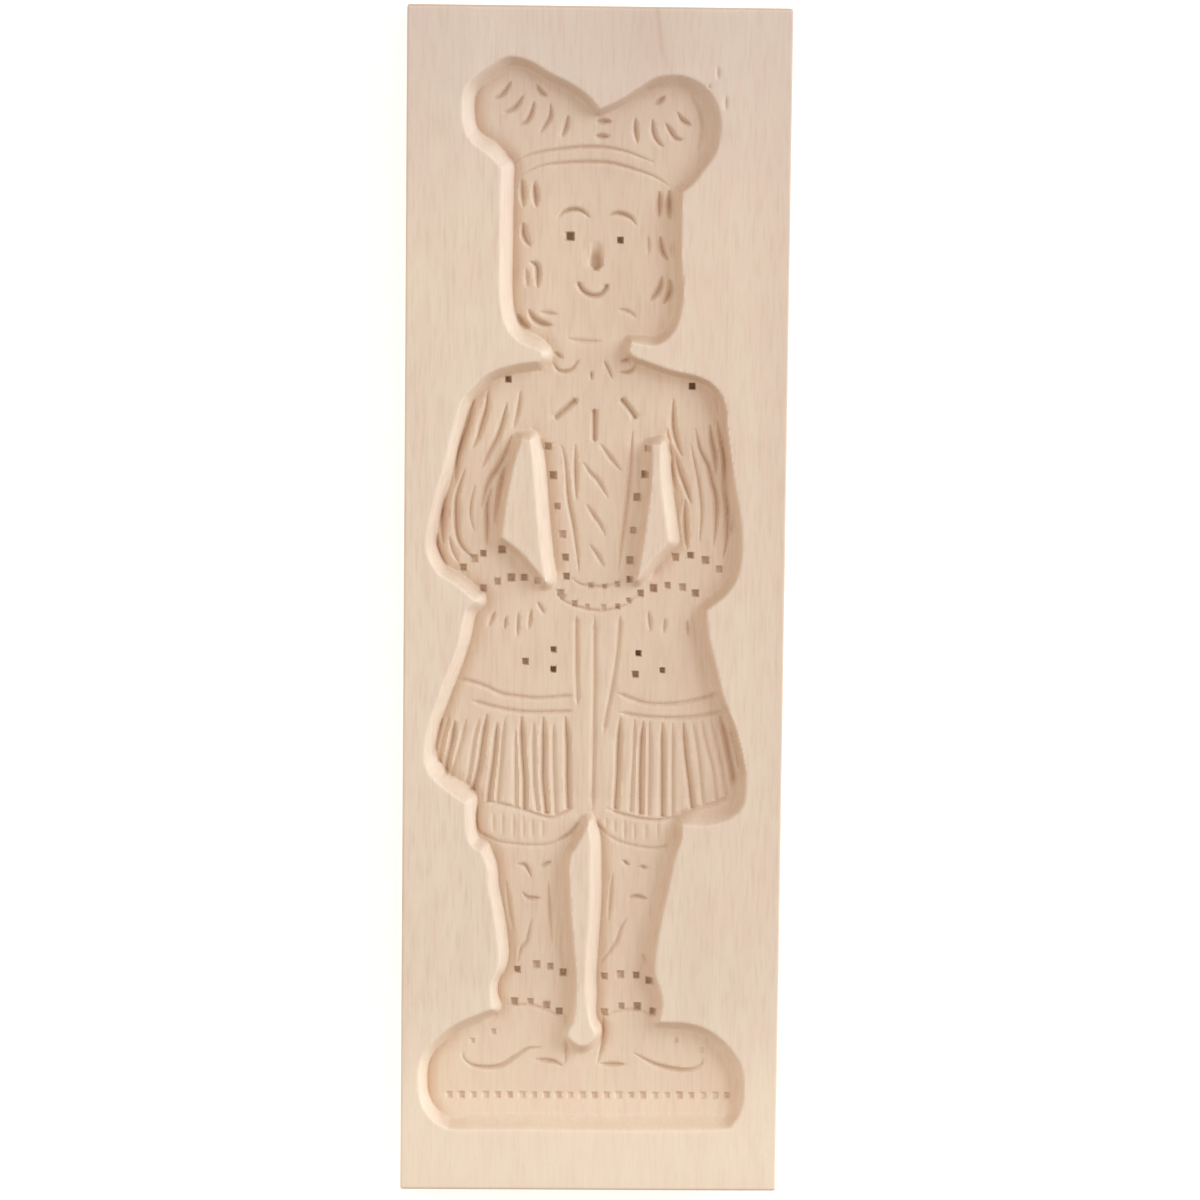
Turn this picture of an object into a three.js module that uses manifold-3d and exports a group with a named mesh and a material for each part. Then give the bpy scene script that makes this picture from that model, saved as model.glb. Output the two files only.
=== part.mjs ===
// A wooden cookie mould: one beech plank with a standing figure in old costume hollowed into its face.
// Millimetres. The plank lies on its back, +Z out of the carved face, +Y from the shoes to the hat.
// The origin is the middle of the back face.
import * as THREE from "three";
import { mergeVertices, toCreasedNormals } from "three/addons/utils/BufferGeometryUtils.js";
import Module from "manifold-3d";

// Driving sizes of the plank.
const figureWidth = 103.6;
const figureHeight = 339.6;
const marginLeft = 5.8;
const marginRight = 10.6;
const marginTop = 15.9;
const marginBottom = 19.5;
const boardThickness = 20;
const edgeEasing = 0.9;
const faceCornerRadius = 0.6;

// Driving sizes of the carving: how deep each form is hollowed, and how far its wall slopes in.
// The torso's walls between the arms are the steepest.
const plumeDepth = 4.8;
const headDepth = 5.3;
const neckDepth = 4.6;
const sleeveDepth = 5.2;
const chestDepth = 5.6;
const skirtDepth = 5.4;
const legDepth = 5.2;
const groundDepth = 5;
const wallRun = 3.5;
const torsoWallRun = 3.1;
const outlineStep = 5.5;

// Driving sizes of the gouge strokes and the punched dots.
const strokeWidth = 1.7;
const strokeDepth = 1.1;
const pleatWidth = 2;
const pleatDepth = 1.3;
const strokeStep = 3.6;
const dotWidth = 2.2;
const dotDepth = 1.3;
const beadWidth = 1.6;
const beadDepth = 0.9;
const pleatsLeft = 13;
const pleatsRight = 13;
const groundBeads = 24;

// How far cutters stand above the face, and how far above a floor a stroke's V turns upright.
const cutterRise = 1;
const strokeKnee = 0.3;

// How finely curves are cut into flats, and how near two corners are to count as one.
const dotSides = 4;
const easingSteps = 2;
const cornerSteps = 3;
const fewestStrokeSteps = 2;
const creaseAngle = Math.PI / 7;
const mergeDistance = 1e-4;

// The carving is drawn in pixels of a 1200 by 1200 picture of the mould, x to the right and y down.
// These are the plank's corners there: the picture was taken at a slight tilt and is turned a little.
const pictureTopLeft = [407, 3];
const pictureTopRight = [794, 8];
const pictureBottomLeft = [400, 1190];
const pictureBottomRight = [775.5, 1192];

// Outlines of the hollowed forms where their walls meet the face. Each closes on itself, and they overlap.
const leftPlume = [
  [501, 168], [488, 154], [474, 144], [465, 131], [462, 110], [464, 90], [473, 77], [491, 64], [512, 56],
  [530, 61], [550, 73], [570, 83], [588, 96], [600, 109], [624, 128], [631, 160], [600, 182], [560, 185], [524, 180],
];
const rightPlume = [
  [572, 128], [597, 109], [617, 101], [636, 89], [656, 77], [680, 75], [702, 84], [716, 102], [721, 126],
  [716, 152], [704, 170], [693, 184], [681, 192], [668, 193], [640, 191], [602, 184], [572, 162],
];
const head = [
  [501, 176], [500, 230], [500, 285], [505, 318], [517, 340], [538, 349], [575, 352], [615, 352], [654, 346],
  [670, 336], [679, 319], [683, 292], [681, 255], [681, 205], [674, 175], [645, 156], [600, 149], [555, 151],
  [513, 157],
];
const neck = [
  [556, 322], [549, 352], [552, 374], [568, 396], [614, 396], [629, 374], [632, 350], [624, 322], [590, 310],
];
const leftSleeve = [
  [565, 362], [538, 361], [515, 364], [490, 372], [473, 386], [461, 402], [450, 440], [443, 470], [433, 505],
  [426, 540], [429, 559], [455, 584], [472, 600], [500, 616], [535, 616], [553, 600], [545, 581], [521, 553],
  [501, 537], [506, 500], [513, 465], [522, 438], [546, 420], [570, 395],
];
const chest = [
  [560, 364], [532, 385], [514, 420], [530, 444], [534, 480], [538, 525], [544, 575], [556, 610], [594, 626],
  [630, 611], [637, 582], [643, 545], [648, 510], [651, 480], [652, 448], [668, 424], [660, 388], [638, 366],
  [600, 374],
];
const rightSleeve = [
  [624, 364], [645, 361], [670, 370], [699, 377], [716, 388], [725, 406], [727, 435], [733, 475], [739, 510],
  [742, 540], [739, 572], [725, 597], [702, 613], [668, 618], [640, 610], [632, 594], [639, 576], [669, 543],
  [665, 512], [661, 478], [660, 444], [640, 416], [616, 395],
];
const leftSkirt = [
  [492, 588], [469, 604], [461, 632], [453, 658], [445, 679], [437, 700], [430, 720], [424, 756], [430, 775],
  [446, 790], [465, 803], [500, 818], [545, 829], [584, 822], [612, 796], [622, 740], [622, 660], [614, 600],
  [548, 584],
];
const rightSkirt = [
  [574, 600], [566, 660], [566, 740], [574, 798], [600, 822], [650, 829], [684, 826], [708, 826], [729, 820],
  [743, 806], [746, 780], [742, 755], [735, 728], [724, 700], [716, 668], [709, 640], [703, 606], [682, 588],
  [638, 588],
];
const leftLeg = [
  [465, 785], [466, 828], [472, 846], [484, 855], [488, 880], [494, 915], [498, 950], [493, 980], [492, 1005],
  [502, 1032], [540, 1048], [568, 1036], [578, 1005], [578, 980], [575, 945], [572, 905], [573, 862], [580, 842],
  [590, 818], [575, 785], [520, 775],
];
const rightLeg = [
  [592, 785], [587, 818], [590, 850], [590, 900], [587, 945], [583, 980], [583, 1006], [594, 1035], [620, 1048],
  [652, 1040], [661, 1008], [654, 972], [657, 945], [662, 915], [668, 890], [674, 862], [681, 842], [682, 812],
  [668, 785], [625, 775],
];
const ground = [
  [505, 1006], [472, 1016], [451, 1026], [436, 1038], [424, 1052], [419, 1068], [419, 1090], [423, 1107],
  [437, 1124], [458, 1130], [520, 1130], [590, 1131], [660, 1131], [722, 1130], [738, 1117], [744, 1088],
  [740, 1064], [722, 1040], [706, 1029], [685, 1023], [660, 1022], [625, 1035], [598, 1047], [570, 1047],
  [540, 1030],
];

// Gouge strokes of each form, from end to end.
const plumeStrokes = [
  [[493, 98], [504, 91], [512, 81]],
  [[503, 113], [516, 106], [524, 95]],
  [[517, 125], [530, 114], [535, 101]],
  [[538, 134], [549, 118], [551, 102]],
  [[560, 137], [566, 126], [569, 114]],
  [[536, 84], [540, 91], [548, 96]],
  [[653, 104], [664, 96]],
  [[635, 118], [635, 130], [638, 143]],
  [[652, 119], [654, 134], [663, 147]],
  [[665, 123], [671, 134], [683, 140]],
  [[677, 112], [682, 120], [691, 125]],
  [[595, 121], [611, 121]],
  [[594, 136], [609, 136]],
  [[516, 161], [545, 151], [580, 146], [615, 149], [655, 163]],
];
const headStrokes = [
  [[520, 173], [560, 163], [600, 162], [640, 170], [668, 187]],
  [[523, 180], [524, 207]],
  [[535, 181], [537, 207]],
  [[524, 224], [525, 236], [531, 247]],
  [[526, 261], [527, 287]],
  [[530, 263], [538, 269], [540, 287]],
  [[519, 317], [524, 323], [530, 327]],
  [[529, 310], [535, 320], [552, 324]],
  [[660, 189], [661, 217]],
  [[669, 189], [669, 217]],
  [[650, 236], [650, 253]],
  [[661, 236], [663, 249], [669, 259]],
  [[663, 275], [659, 288], [649, 301]],
  [[670, 279], [669, 291], [664, 304]],
  [[619, 309], [631, 312], [637, 320]],
  [[557, 216], [572, 207], [589, 216]],
  [[609, 216], [622, 211], [636, 222]],
  [[594, 240], [595, 254], [595, 270]],
  [[577, 280], [583, 290], [593, 294], [603, 289], [608, 281]],
  [[565, 335], [582, 341], [602, 341]],
];
const chestStrokes = [
  [[553, 362], [560, 370], [570, 369], [579, 359]],
  [[602, 360], [607, 372], [620, 375], [636, 366]],
  [[553, 419], [565, 408], [577, 399]],
  [[620, 398], [628, 407], [636, 419]],
  [[594, 408], [594, 442]],
  [[561, 444], [568, 495], [574, 535], [579, 572]],
  [[632, 429], [630, 475], [625, 520], [619, 572]],
  [[583, 463], [597, 480], [608, 498]],
  [[600, 445], [611, 458], [621, 472]],
  [[587, 505], [597, 520], [605, 537]],
  [[589, 544], [597, 555], [604, 568]],
  [[576, 583], [592, 586], [606, 587], [620, 583]],
];
const leftSleeveStrokes = [
  [[470, 424], [461, 446], [455, 481]],
  [[448, 484], [443, 512], [446, 541]],
  [[486, 409], [482, 426], [478, 441]],
  [[466, 464], [459, 500], [462, 538], [474, 558]],
  [[507, 414], [498, 438], [487, 460], [481, 471]],
  [[511, 440], [502, 466], [489, 486], [486, 504]],
  [[495, 484], [487, 512], [484, 540]],
  [[437, 521], [438, 550], [448, 568]],
];
const rightSleeveStrokes = [
  [[675, 401], [676, 427], [682, 449]],
  [[697, 432], [698, 478], [701, 541]],
  [[713, 434], [714, 450], [719, 471]],
  [[678, 459], [683, 482], [691, 499]],
  [[688, 500], [687, 541]],
  [[703, 457], [714, 488], [720, 531]],
  [[724, 447], [729, 485], [733, 522], [727, 551]],
];
const skirtStrokes = [
  [[495, 611], [488, 626]],
  [[506, 616], [504, 629]],
  [[518, 611], [517, 636]],
  [[531, 609], [528, 629]],
  [[648, 611], [650, 631]],
  [[665, 618], [663, 633]],
  [[687, 620], [688, 636]],
  [[455, 678], [485, 686], [520, 697], [575, 696]],
  [[455, 697], [500, 708], [577, 714]],
  [[615, 692], [650, 704], [690, 702], [721, 692]],
  [[617, 714], [665, 719], [724, 711]],
  [[576, 622], [577, 705]],
  [[594, 614], [593, 700], [592, 806]],
  [[620, 614], [614, 680], [604, 735]],
];
const legStrokes = [
  [[479, 806], [481, 828], [502, 841], [540, 845], [565, 837], [583, 818]],
  [[592, 814], [606, 835], [636, 846], [664, 840], [671, 818]],
  [[530, 919], [526, 938], [517, 966]],
  [[629, 919], [617, 942], [600, 966]],
  [[517, 864], [524, 867], [530, 876]],
  [[523, 894], [532, 899], [541, 894]],
  [[630, 897], [648, 898]],
];
const groundStrokes = [
  [[463, 1053], [472, 1065], [500, 1065], [522, 1051], [540, 1047]],
  [[632, 1053], [655, 1067], [690, 1069], [703, 1052]],
  [[535, 1062], [565, 1064]],
  [[597, 1064], [625, 1064]],
];

// The pleats hang from the coat's band to its hem: both ends of the band and of the hem.
const leftPleatTop = [[458, 706], [572, 720]];
const leftPleatHem = [[438, 768], [488, 799], [572, 808]];
const rightPleatTop = [[613, 720], [722, 712]];
const rightPleatHem = [[613, 810], [680, 812], [739, 790]];

// Punched dots of each form, one row to a line: the eyes, the shoulders and cuffs, the buttons, the belt
// and pockets, the ankles and the shoes. The row of beads along the ground is spaced evenly between its ends.
const eyeDots = [[570, 236], [620, 240]];
const sleeveDots = [
  [508, 379], [692, 386],
  [463, 567], [474, 558], [482, 553], [502, 549],
  [483, 588], [497, 581], [511, 577], [523, 577], [535, 580],
  [675, 557], [690, 555], [705, 560], [719, 569],
  [638, 594], [653, 588], [667, 585], [682, 586], [695, 593],
];
const buttonDots = [
  [548, 446], [553, 475], [557, 506], [562, 534], [565, 557], [566, 576],
  [648, 448], [645, 474], [637, 497], [633, 530], [630, 560], [630, 579],
];
const coatDots = [
  [562, 597], [574, 603], [587, 606], [603, 607], [617, 606], [628, 600],
  [553, 649], [525, 661], [553, 669],
  [638, 653], [635, 674], [662, 670],
];
const ankleDots = [
  [517, 969], [536, 964], [550, 965], [563, 972],
  [514, 1000], [530, 1000], [546, 1005], [559, 1010],
  [603, 978], [621, 974], [636, 975], [650, 980],
  [603, 1012], [622, 1005], [638, 1005], [654, 1011],
];
const shoeDots = [[473, 1040], [493, 1031], [677, 1040], [701, 1051]];
const beadRow = [[449, 1094], [728, 1095]];

const wasm = await Module();
wasm.setup();

const faceZ = boardThickness;
const boardWidth = marginLeft + figureWidth + marginRight;
const boardLength = marginTop + figureHeight + marginBottom;

// A picture point as shares of the plank, across from its left edge and along from its top edge.
// The top is nearer the camera, so shares along the plank follow the projected widths of its ends.
const endWidthRatio =
  (pictureTopRight[0] - pictureTopLeft[0]) / (pictureBottomRight[0] - pictureBottomLeft[0]);

function sharesOf([x, y]) {
  const edge = (from, to) => from[0] + ((to[0] - from[0]) * (y - from[1])) / (to[1] - from[1]);
  const left = edge(pictureTopLeft, pictureBottomLeft);
  const right = edge(pictureTopRight, pictureBottomRight);
  const across = (x - left) / (right - left);
  const top = THREE.MathUtils.lerp(pictureTopLeft[1], pictureTopRight[1], across);
  const bottom = THREE.MathUtils.lerp(pictureBottomLeft[1], pictureBottomRight[1], across);
  const seen = (y - top) / (bottom - top);
  const along = seen / (endWidthRatio - seen * (endWidthRatio - 1));
  return new THREE.Vector2(across, along);
}

// The figure's own extent in those shares, which figureWidth and figureHeight then size.
const outlines = [
  leftPlume, rightPlume, head, neck, leftSleeve, chest, rightSleeve, leftSkirt, rightSkirt, leftLeg, rightLeg,
  ground,
];
const extent = new THREE.Box2().setFromPoints(outlines.flat().map(sharesOf));
const extentSize = extent.getSize(new THREE.Vector2());

function onBoard(point, z = 0) {
  const share = sharesOf(point).sub(extent.min).divide(extentSize);
  const x = -boardWidth / 2 + marginLeft + share.x * figureWidth;
  const y = boardLength / 2 - marginTop - share.y * figureHeight;
  return new THREE.Vector3(x, y, z);
}

// A mesh's geometry as a solid, without the triangles that its pointed ends squeeze to nothing.
function solid(geometry) {
  geometry.deleteAttribute("normal");
  geometry.deleteAttribute("uv");
  const merged = mergeVertices(geometry, mergeDistance);
  const triVerts = [];
  for (let i = 0; i < merged.index.count; i += 3) {
    const corners = [0, 1, 2].map((k) => merged.index.getX(i + k));
    if (new Set(corners).size === 3) triVerts.push(...corners);
  }
  return new wasm.Manifold(
    new wasm.Mesh({
      numProp: 3,
      vertProperties: Float32Array.from(merged.attributes.position.array),
      triVerts: Uint32Array.from(triVerts),
    }),
  );
}

// A solid as geometry again, smooth round its curves and sharp at its edges.
function geometryOf(manifold) {
  const mesh = manifold.getMesh();
  const geometry = new THREE.BufferGeometry();
  geometry.setAttribute("position", new THREE.BufferAttribute(mesh.vertProperties, 3));
  geometry.setIndex(new THREE.BufferAttribute(mesh.triVerts, 1));
  return toCreasedNormals(geometry, creaseAngle);
}

// A closed skin over rings of equally many points, each ring counter-clockwise seen from the last one's side.
// A ring that comes to a point needs no cap.
function skinned(rings, firstCap = [], lastCap = []) {
  const count = rings[0].length;
  const positions = rings.flat().flatMap((p) => [p.x, p.y, p.z]);
  const index = [];
  for (let r = 0; r + 1 < rings.length; r++) {
    for (let i = 0; i < count; i++) {
      const a = r * count + i;
      const b = r * count + ((i + 1) % count);
      index.push(a, b, b + count, a, b + count, a + count);
    }
  }
  const last = (rings.length - 1) * count;
  firstCap.forEach(([a, b, c]) => index.push(a, c, b));
  lastCap.forEach(([a, b, c]) => index.push(last + a, last + b, last + c));
  const geometry = new THREE.BufferGeometry();
  geometry.setAttribute("position", new THREE.Float32BufferAttribute(positions, 3));
  geometry.setIndex(index);
  return geometry;
}

// Points spaced along a smooth closed outline, counter-clockwise.
function smoothLoop(outline) {
  const curve = new THREE.CatmullRomCurve3(outline.map((p) => onBoard(p)), true, "centripetal");
  const count = Math.round(curve.getLength() / outlineStep);
  const points = curve.getSpacedPoints(count).slice(0, count);
  return THREE.ShapeUtils.isClockWise(points) ? points.reverse() : points;
}

// Each point of a loop moved inwards, square to its two edges.
function insetLoop(points, distance, z) {
  return points.map((p, i) => {
    const before = points.at(i - 1);
    const after = points[(i + 1) % points.length];
    const edgeIn = new THREE.Vector2(p.x - before.x, p.y - before.y).normalize();
    const edgeOut = new THREE.Vector2(after.x - p.x, after.y - p.y).normalize();
    const inward = new THREE.Vector2(-edgeIn.y - edgeOut.y, edgeIn.x + edgeOut.x);
    const step = (2 * distance) / inward.lengthSq();
    return new THREE.Vector3(p.x + inward.x * step, p.y + inward.y * step, z);
  });
}

// The cutter of one hollowed form: its outline at the face, and a sloping wall down to a flat floor.
function hollow(outline, depth, run = wallRun) {
  const loop = smoothLoop(outline);
  const slope = run / depth;
  const rings = [
    insetLoop(loop, run, faceZ - depth),
    insetLoop(loop, -slope * cutterRise, faceZ + cutterRise),
  ];
  const caps = rings.map((ring) => THREE.ShapeUtils.triangulateShape(ring, []));
  return solid(skinned(rings, caps[0], caps[1]));
}

// The cutter of one gouge stroke: a V that widens from its two ends, cut into a floor at the given depth.
function stroke(points, floorDepth, width = strokeWidth, depth = strokeDepth) {
  const floorZ = faceZ - floorDepth;
  const curve = new THREE.CatmullRomCurve3(points.map((p) => onBoard(p)), false, "centripetal");
  const steps = Math.max(fewestStrokeSteps, Math.round(curve.getLength() / strokeStep));
  const rings = [];
  for (let i = 0; i <= steps; i++) {
    const share = i / steps;
    const fullness = i % steps === 0 ? 0 : Math.sqrt(Math.sin(Math.PI * share));
    const at = curve.getPointAt(share);
    const along = curve.getTangentAt(share);
    const halfWidth = (1 + strokeKnee / depth) * fullness * (width / 2);
    const side = new THREE.Vector3(-along.y, along.x, 0).multiplyScalar(halfWidth);
    const corner = (sign, z) => new THREE.Vector3(at.x + sign * side.x, at.y + sign * side.y, z);
    rings.push([
      corner(-1, faceZ + cutterRise),
      corner(-1, floorZ + strokeKnee),
      corner(0, floorZ + strokeKnee - (depth + strokeKnee) * fullness),
      corner(1, floorZ + strokeKnee),
      corner(1, faceZ + cutterRise),
    ]);
  }
  return solid(skinned(rings));
}

// The cutter of one punched dot: a square point below the floor, and a square shank above it.
function dot(point, floorDepth, width = dotWidth, depth = dotDepth) {
  const radius = (1 + strokeKnee / depth) * (width / Math.SQRT2);
  const profile = [
    new THREE.Vector2(0, -depth),
    new THREE.Vector2(radius, strokeKnee),
    new THREE.Vector2(radius, floorDepth + cutterRise),
    new THREE.Vector2(0, floorDepth + cutterRise),
  ];
  const geometry = new THREE.LatheGeometry(profile, dotSides, Math.PI / dotSides);
  geometry.rotateX(Math.PI / 2);
  const at = onBoard(point, faceZ - floorDepth);
  geometry.translate(at.x, at.y, at.z);
  return solid(geometry);
}

// Pleats: strokes spread evenly from a line along the band to a curve along the hem.
function pleats(top, hem, count) {
  const topLine = new THREE.CatmullRomCurve3(top.map(([x, y]) => new THREE.Vector3(x, y, 0)));
  const hemLine = new THREE.CatmullRomCurve3(hem.map(([x, y]) => new THREE.Vector3(x, y, 0)));
  return Array.from({ length: count }, (_, i) => {
    const share = i / (count - 1);
    const from = topLine.getPointAt(share);
    const to = hemLine.getPointAt(share);
    return stroke([[from.x, from.y], [to.x, to.y]], skirtDepth, pleatWidth, pleatDepth);
  });
}

function beads() {
  const [from, to] = beadRow;
  return Array.from({ length: groundBeads }, (_, i) => {
    const share = i / (groundBeads - 1);
    const point = [0, 1].map((k) => THREE.MathUtils.lerp(from[k], to[k], share));
    return dot(point, groundDepth, beadWidth, beadDepth);
  });
}

// The plank: a rectangle with slightly rounded corners, its arrises eased all round the flat face.
function plank() {
  const x = boardWidth / 2 - edgeEasing;
  const y = boardLength / 2 - edgeEasing;
  const r = faceCornerRadius;
  const shape = new THREE.Shape();
  shape.moveTo(-x + r, -y);
  shape.lineTo(x - r, -y).absarc(x - r, -y + r, r, -Math.PI / 2, 0);
  shape.lineTo(x, y - r).absarc(x - r, y - r, r, 0, Math.PI / 2);
  shape.lineTo(-x + r, y).absarc(-x + r, y - r, r, Math.PI / 2, Math.PI);
  shape.lineTo(-x, -y + r).absarc(-x + r, -y + r, r, Math.PI, Math.PI * 1.5);
  const geometry = new THREE.ExtrudeGeometry(shape, {
    depth: boardThickness - 2 * edgeEasing,
    bevelThickness: edgeEasing,
    bevelSize: edgeEasing,
    bevelSegments: easingSteps,
    curveSegments: cornerSteps,
  });
  geometry.translate(0, 0, edgeEasing);
  return solid(geometry);
}

const hollows = [
  hollow(leftPlume, plumeDepth),
  hollow(rightPlume, plumeDepth),
  hollow(head, headDepth),
  hollow(neck, neckDepth),
  hollow(leftSleeve, sleeveDepth),
  hollow(rightSleeve, sleeveDepth),
  hollow(chest, chestDepth, torsoWallRun),
  hollow(leftSkirt, skirtDepth),
  hollow(rightSkirt, skirtDepth),
  hollow(leftLeg, legDepth),
  hollow(rightLeg, legDepth),
  hollow(ground, groundDepth),
];

const details = [
  ...plumeStrokes.map((points) => stroke(points, plumeDepth)),
  ...headStrokes.map((points) => stroke(points, headDepth)),
  ...chestStrokes.map((points) => stroke(points, chestDepth)),
  ...leftSleeveStrokes.map((points) => stroke(points, sleeveDepth)),
  ...rightSleeveStrokes.map((points) => stroke(points, sleeveDepth)),
  ...skirtStrokes.map((points) => stroke(points, skirtDepth)),
  ...legStrokes.map((points) => stroke(points, legDepth)),
  ...groundStrokes.map((points) => stroke(points, groundDepth)),
  ...pleats(leftPleatTop, leftPleatHem, pleatsLeft),
  ...pleats(rightPleatTop, rightPleatHem, pleatsRight),
  ...eyeDots.map((point) => dot(point, headDepth)),
  ...sleeveDots.map((point) => dot(point, sleeveDepth)),
  ...buttonDots.map((point) => dot(point, chestDepth)),
  ...coatDots.map((point) => dot(point, skirtDepth)),
  ...ankleDots.map((point) => dot(point, legDepth)),
  ...shoeDots.map((point) => dot(point, groundDepth, beadWidth, beadDepth)),
  ...beads(),
];

const carving = [...hollows, ...details].reduce((all, one) => all.add(one));

const beech = new THREE.MeshStandardMaterial({ color: 0xe2cbb2, roughness: 0.62, metalness: 0 });
const carvedBoard = new THREE.Mesh(geometryOf(plank().subtract(carving)), beech);
carvedBoard.name = "carved_board";

const cookieMould = new THREE.Group();
cookieMould.add(carvedBoard);

export default cookieMould;
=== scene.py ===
"""A carved beech cookie mould: one plank with a standing figure in old costume hollowed into its face.

Metres. The mould lies on its back with the carved face up, the hat toward +Y and the shoes toward -Y.
"""
import math

import bmesh
import bpy
import numpy as np
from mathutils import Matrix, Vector, noise


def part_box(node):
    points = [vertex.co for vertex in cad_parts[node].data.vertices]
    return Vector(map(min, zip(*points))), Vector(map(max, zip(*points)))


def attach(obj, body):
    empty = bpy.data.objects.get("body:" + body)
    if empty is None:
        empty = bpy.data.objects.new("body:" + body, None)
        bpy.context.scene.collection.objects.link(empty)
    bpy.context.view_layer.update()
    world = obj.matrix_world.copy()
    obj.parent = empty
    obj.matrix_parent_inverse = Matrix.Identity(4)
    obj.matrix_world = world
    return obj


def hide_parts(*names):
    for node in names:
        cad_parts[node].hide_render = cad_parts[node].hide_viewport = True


bl_info = {
    "name": "Carved Cookie Mould",
    "version": (1, 0, 0),
    "blender": (4, 5, 0),
    "location": "3D View > Sidebar > Mould",
    "description": "Makes a beech cookie mould with a costumed figure hollowed into its face",
    "category": "Add Mesh",
}

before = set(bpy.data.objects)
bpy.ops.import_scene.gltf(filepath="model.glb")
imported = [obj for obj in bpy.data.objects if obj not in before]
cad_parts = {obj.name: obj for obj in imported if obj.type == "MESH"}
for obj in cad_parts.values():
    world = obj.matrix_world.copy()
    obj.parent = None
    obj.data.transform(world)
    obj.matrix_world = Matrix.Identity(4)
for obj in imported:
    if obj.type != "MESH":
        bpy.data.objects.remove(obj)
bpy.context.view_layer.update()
BOARD_LOW, BOARD_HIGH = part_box("carved_board")
FACE_Z = BOARD_HIGH.z
MM = 0.001

# The plank's corners in a 1200 by 1200 picture of it, in pixels, x to the right and y down.
# All the carving below is drawn in the same pixels.
TOP_LEFT = (407, 3)
TOP_RIGHT = (794, 8)
BOTTOM_LEFT = (400, 1190)
BOTTOM_RIGHT = (775.5, 1192)
MIDDLE_X = 597

# The camera that sees those corners there: place in metres, turn in degrees, focal length in millimetres.
CAMERA_PLACE = (-0.025, 0.1168, 1.2)
CAMERA_TURN = (-5.552, -1.2385, 0.6246)
CAMERA_LENS = 113
CAMERA_HEIGHT = CAMERA_PLACE[2] - FACE_Z

# The figure's edge on the face, clockwise from the foot of the left plume, run by run.
# A run is the width in millimetres that its wall has in the picture, and the points that it goes through
# from the end of the run before. The first run starts at the end of the last.
FIGURE_EDGE = (
    (4.3, ((488, 154), (474, 144), (465, 131))),
    (4.0, ((462, 110), (464, 90), (473, 77), (491, 64), (501, 58), (512, 56))),
    (2.6, ((530, 61), (550, 73), (570, 83), (588, 96), (599, 109))),
    (2.2, ((617, 101), (636, 89), (656, 77))),
    (4.2, ((680, 75), (702, 84))),
    (6.2, ((716, 102), (721, 125), (716, 152))),
    (4.0, ((704, 170), (693, 184), (682, 193))),
    (3.4, ((681, 225), (681, 260), (683, 292), (679, 319), (670, 336), (654, 346), (631, 342))),
    (1.9, ((629, 351), (634, 357), (645, 361))),
    (1.8, ((670, 370), (699, 377), (716, 388), (725, 406))),
    (1.8, ((727, 430), (733, 475))),
    (3.6, ((739, 510), (742, 540), (739, 572), (727, 594), (706, 611))),
    (3.4, ((709, 640), (716, 668), (724, 700))),
    (1.3, ((735, 728), (743, 760), (746, 782))),
    (6.5, ((743, 806), (729, 820), (706, 826), (682, 825))),
    (1.6, ((681, 838), (677, 851))),
    (3.9, ((673, 866), (668, 890), (661, 920), (656, 950), (654, 972))),
    (2.8, ((659, 988), (662, 1004), (659, 1022))),
    (2.7, ((685, 1023), (706, 1029), (722, 1040))),
    (3.6, ((731, 1050), (738, 1060), (742, 1070), (744, 1086), (743, 1101), (740, 1113), (734, 1123),
            (722, 1130))),
    (5.4, ((660, 1131), (590, 1131), (520, 1130), (458, 1130))),
    (3.6, ((443, 1127), (430, 1118), (422, 1105))),
    (2.9, ((419, 1090), (419, 1067), (425, 1051), (436, 1038))),
    (3.0, ((451, 1026), (472, 1016), (492, 1009))),
    (2.2, ((491, 985), (498, 966))),
    (3.4, ((498, 945), (494, 915), (489, 890), (487, 868), (481, 851))),
    (3.6, ((471, 845), (466, 830), (465, 803))),
    (5.0, ((446, 790), (430, 775), (424, 758))),
    (3.6, ((426, 738), (430, 720), (437, 700), (445, 679), (453, 658), (460, 636), (465, 612), (475, 601))),
    (3.8, ((455, 584), (438, 573), (428, 556), (426, 540))),
    (3.3, ((433, 505), (443, 470), (450, 440), (461, 402), (473, 386))),
    (3.2, ((490, 372), (515, 364), (538, 361))),
    (2.8, ((543, 355), (537, 349))),
    (4.2, ((520, 342), (507, 328), (500, 300), (500, 230), (501, 168))),
)

# The islands left standing at the level of the face: between each arm and the body, and between the legs.
# They run the other way round, so that the hollow is always to the right of the edge.
LEFT_ARM_GAP = (
    (2.7, ((513, 465), (506, 500), (501, 537))),
    (2.5, ((521, 553), (545, 581))),
    (4.1, ((541, 555), (537, 515), (534, 475), (530, 440))),
    (2.4, ((521, 439),)),
)
RIGHT_ARM_GAP = (
    (3.0, ((651, 480), (647, 515), (642, 550), (637, 579))),
    (3.0, ((653, 558), (669, 541))),
    (3.6, ((665, 512), (661, 478), (661, 444))),
    (2.2, ((652, 445),)),
)
LEG_GAP = (
    (3.0, ((577, 845), (569, 861), (570, 905), (573, 945), (576, 980), (575, 1005))),
    (2.6, ((572, 1022), (567, 1036), (582, 1046), (594, 1035), (590, 1023), (587, 1008))),
    (3.7, ((585, 980), (587, 945), (590, 900), (590, 850), (588, 824))),
)

# How deep the floor lies below the face down the figure: picture y, and depth in millimetres.
FLOOR_LEVELS = (
    (60, 4.5), (150, 4.7), (180, 5.1), (330, 5.1), (352, 4.5), (400, 5.0), (600, 5.1), (700, 5.2),
    (800, 5.4), (822, 4.8), (990, 4.9), (1060, 4.9), (1096, 4.9), (1118, 3.4), (1132, 2.9),
)

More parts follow.
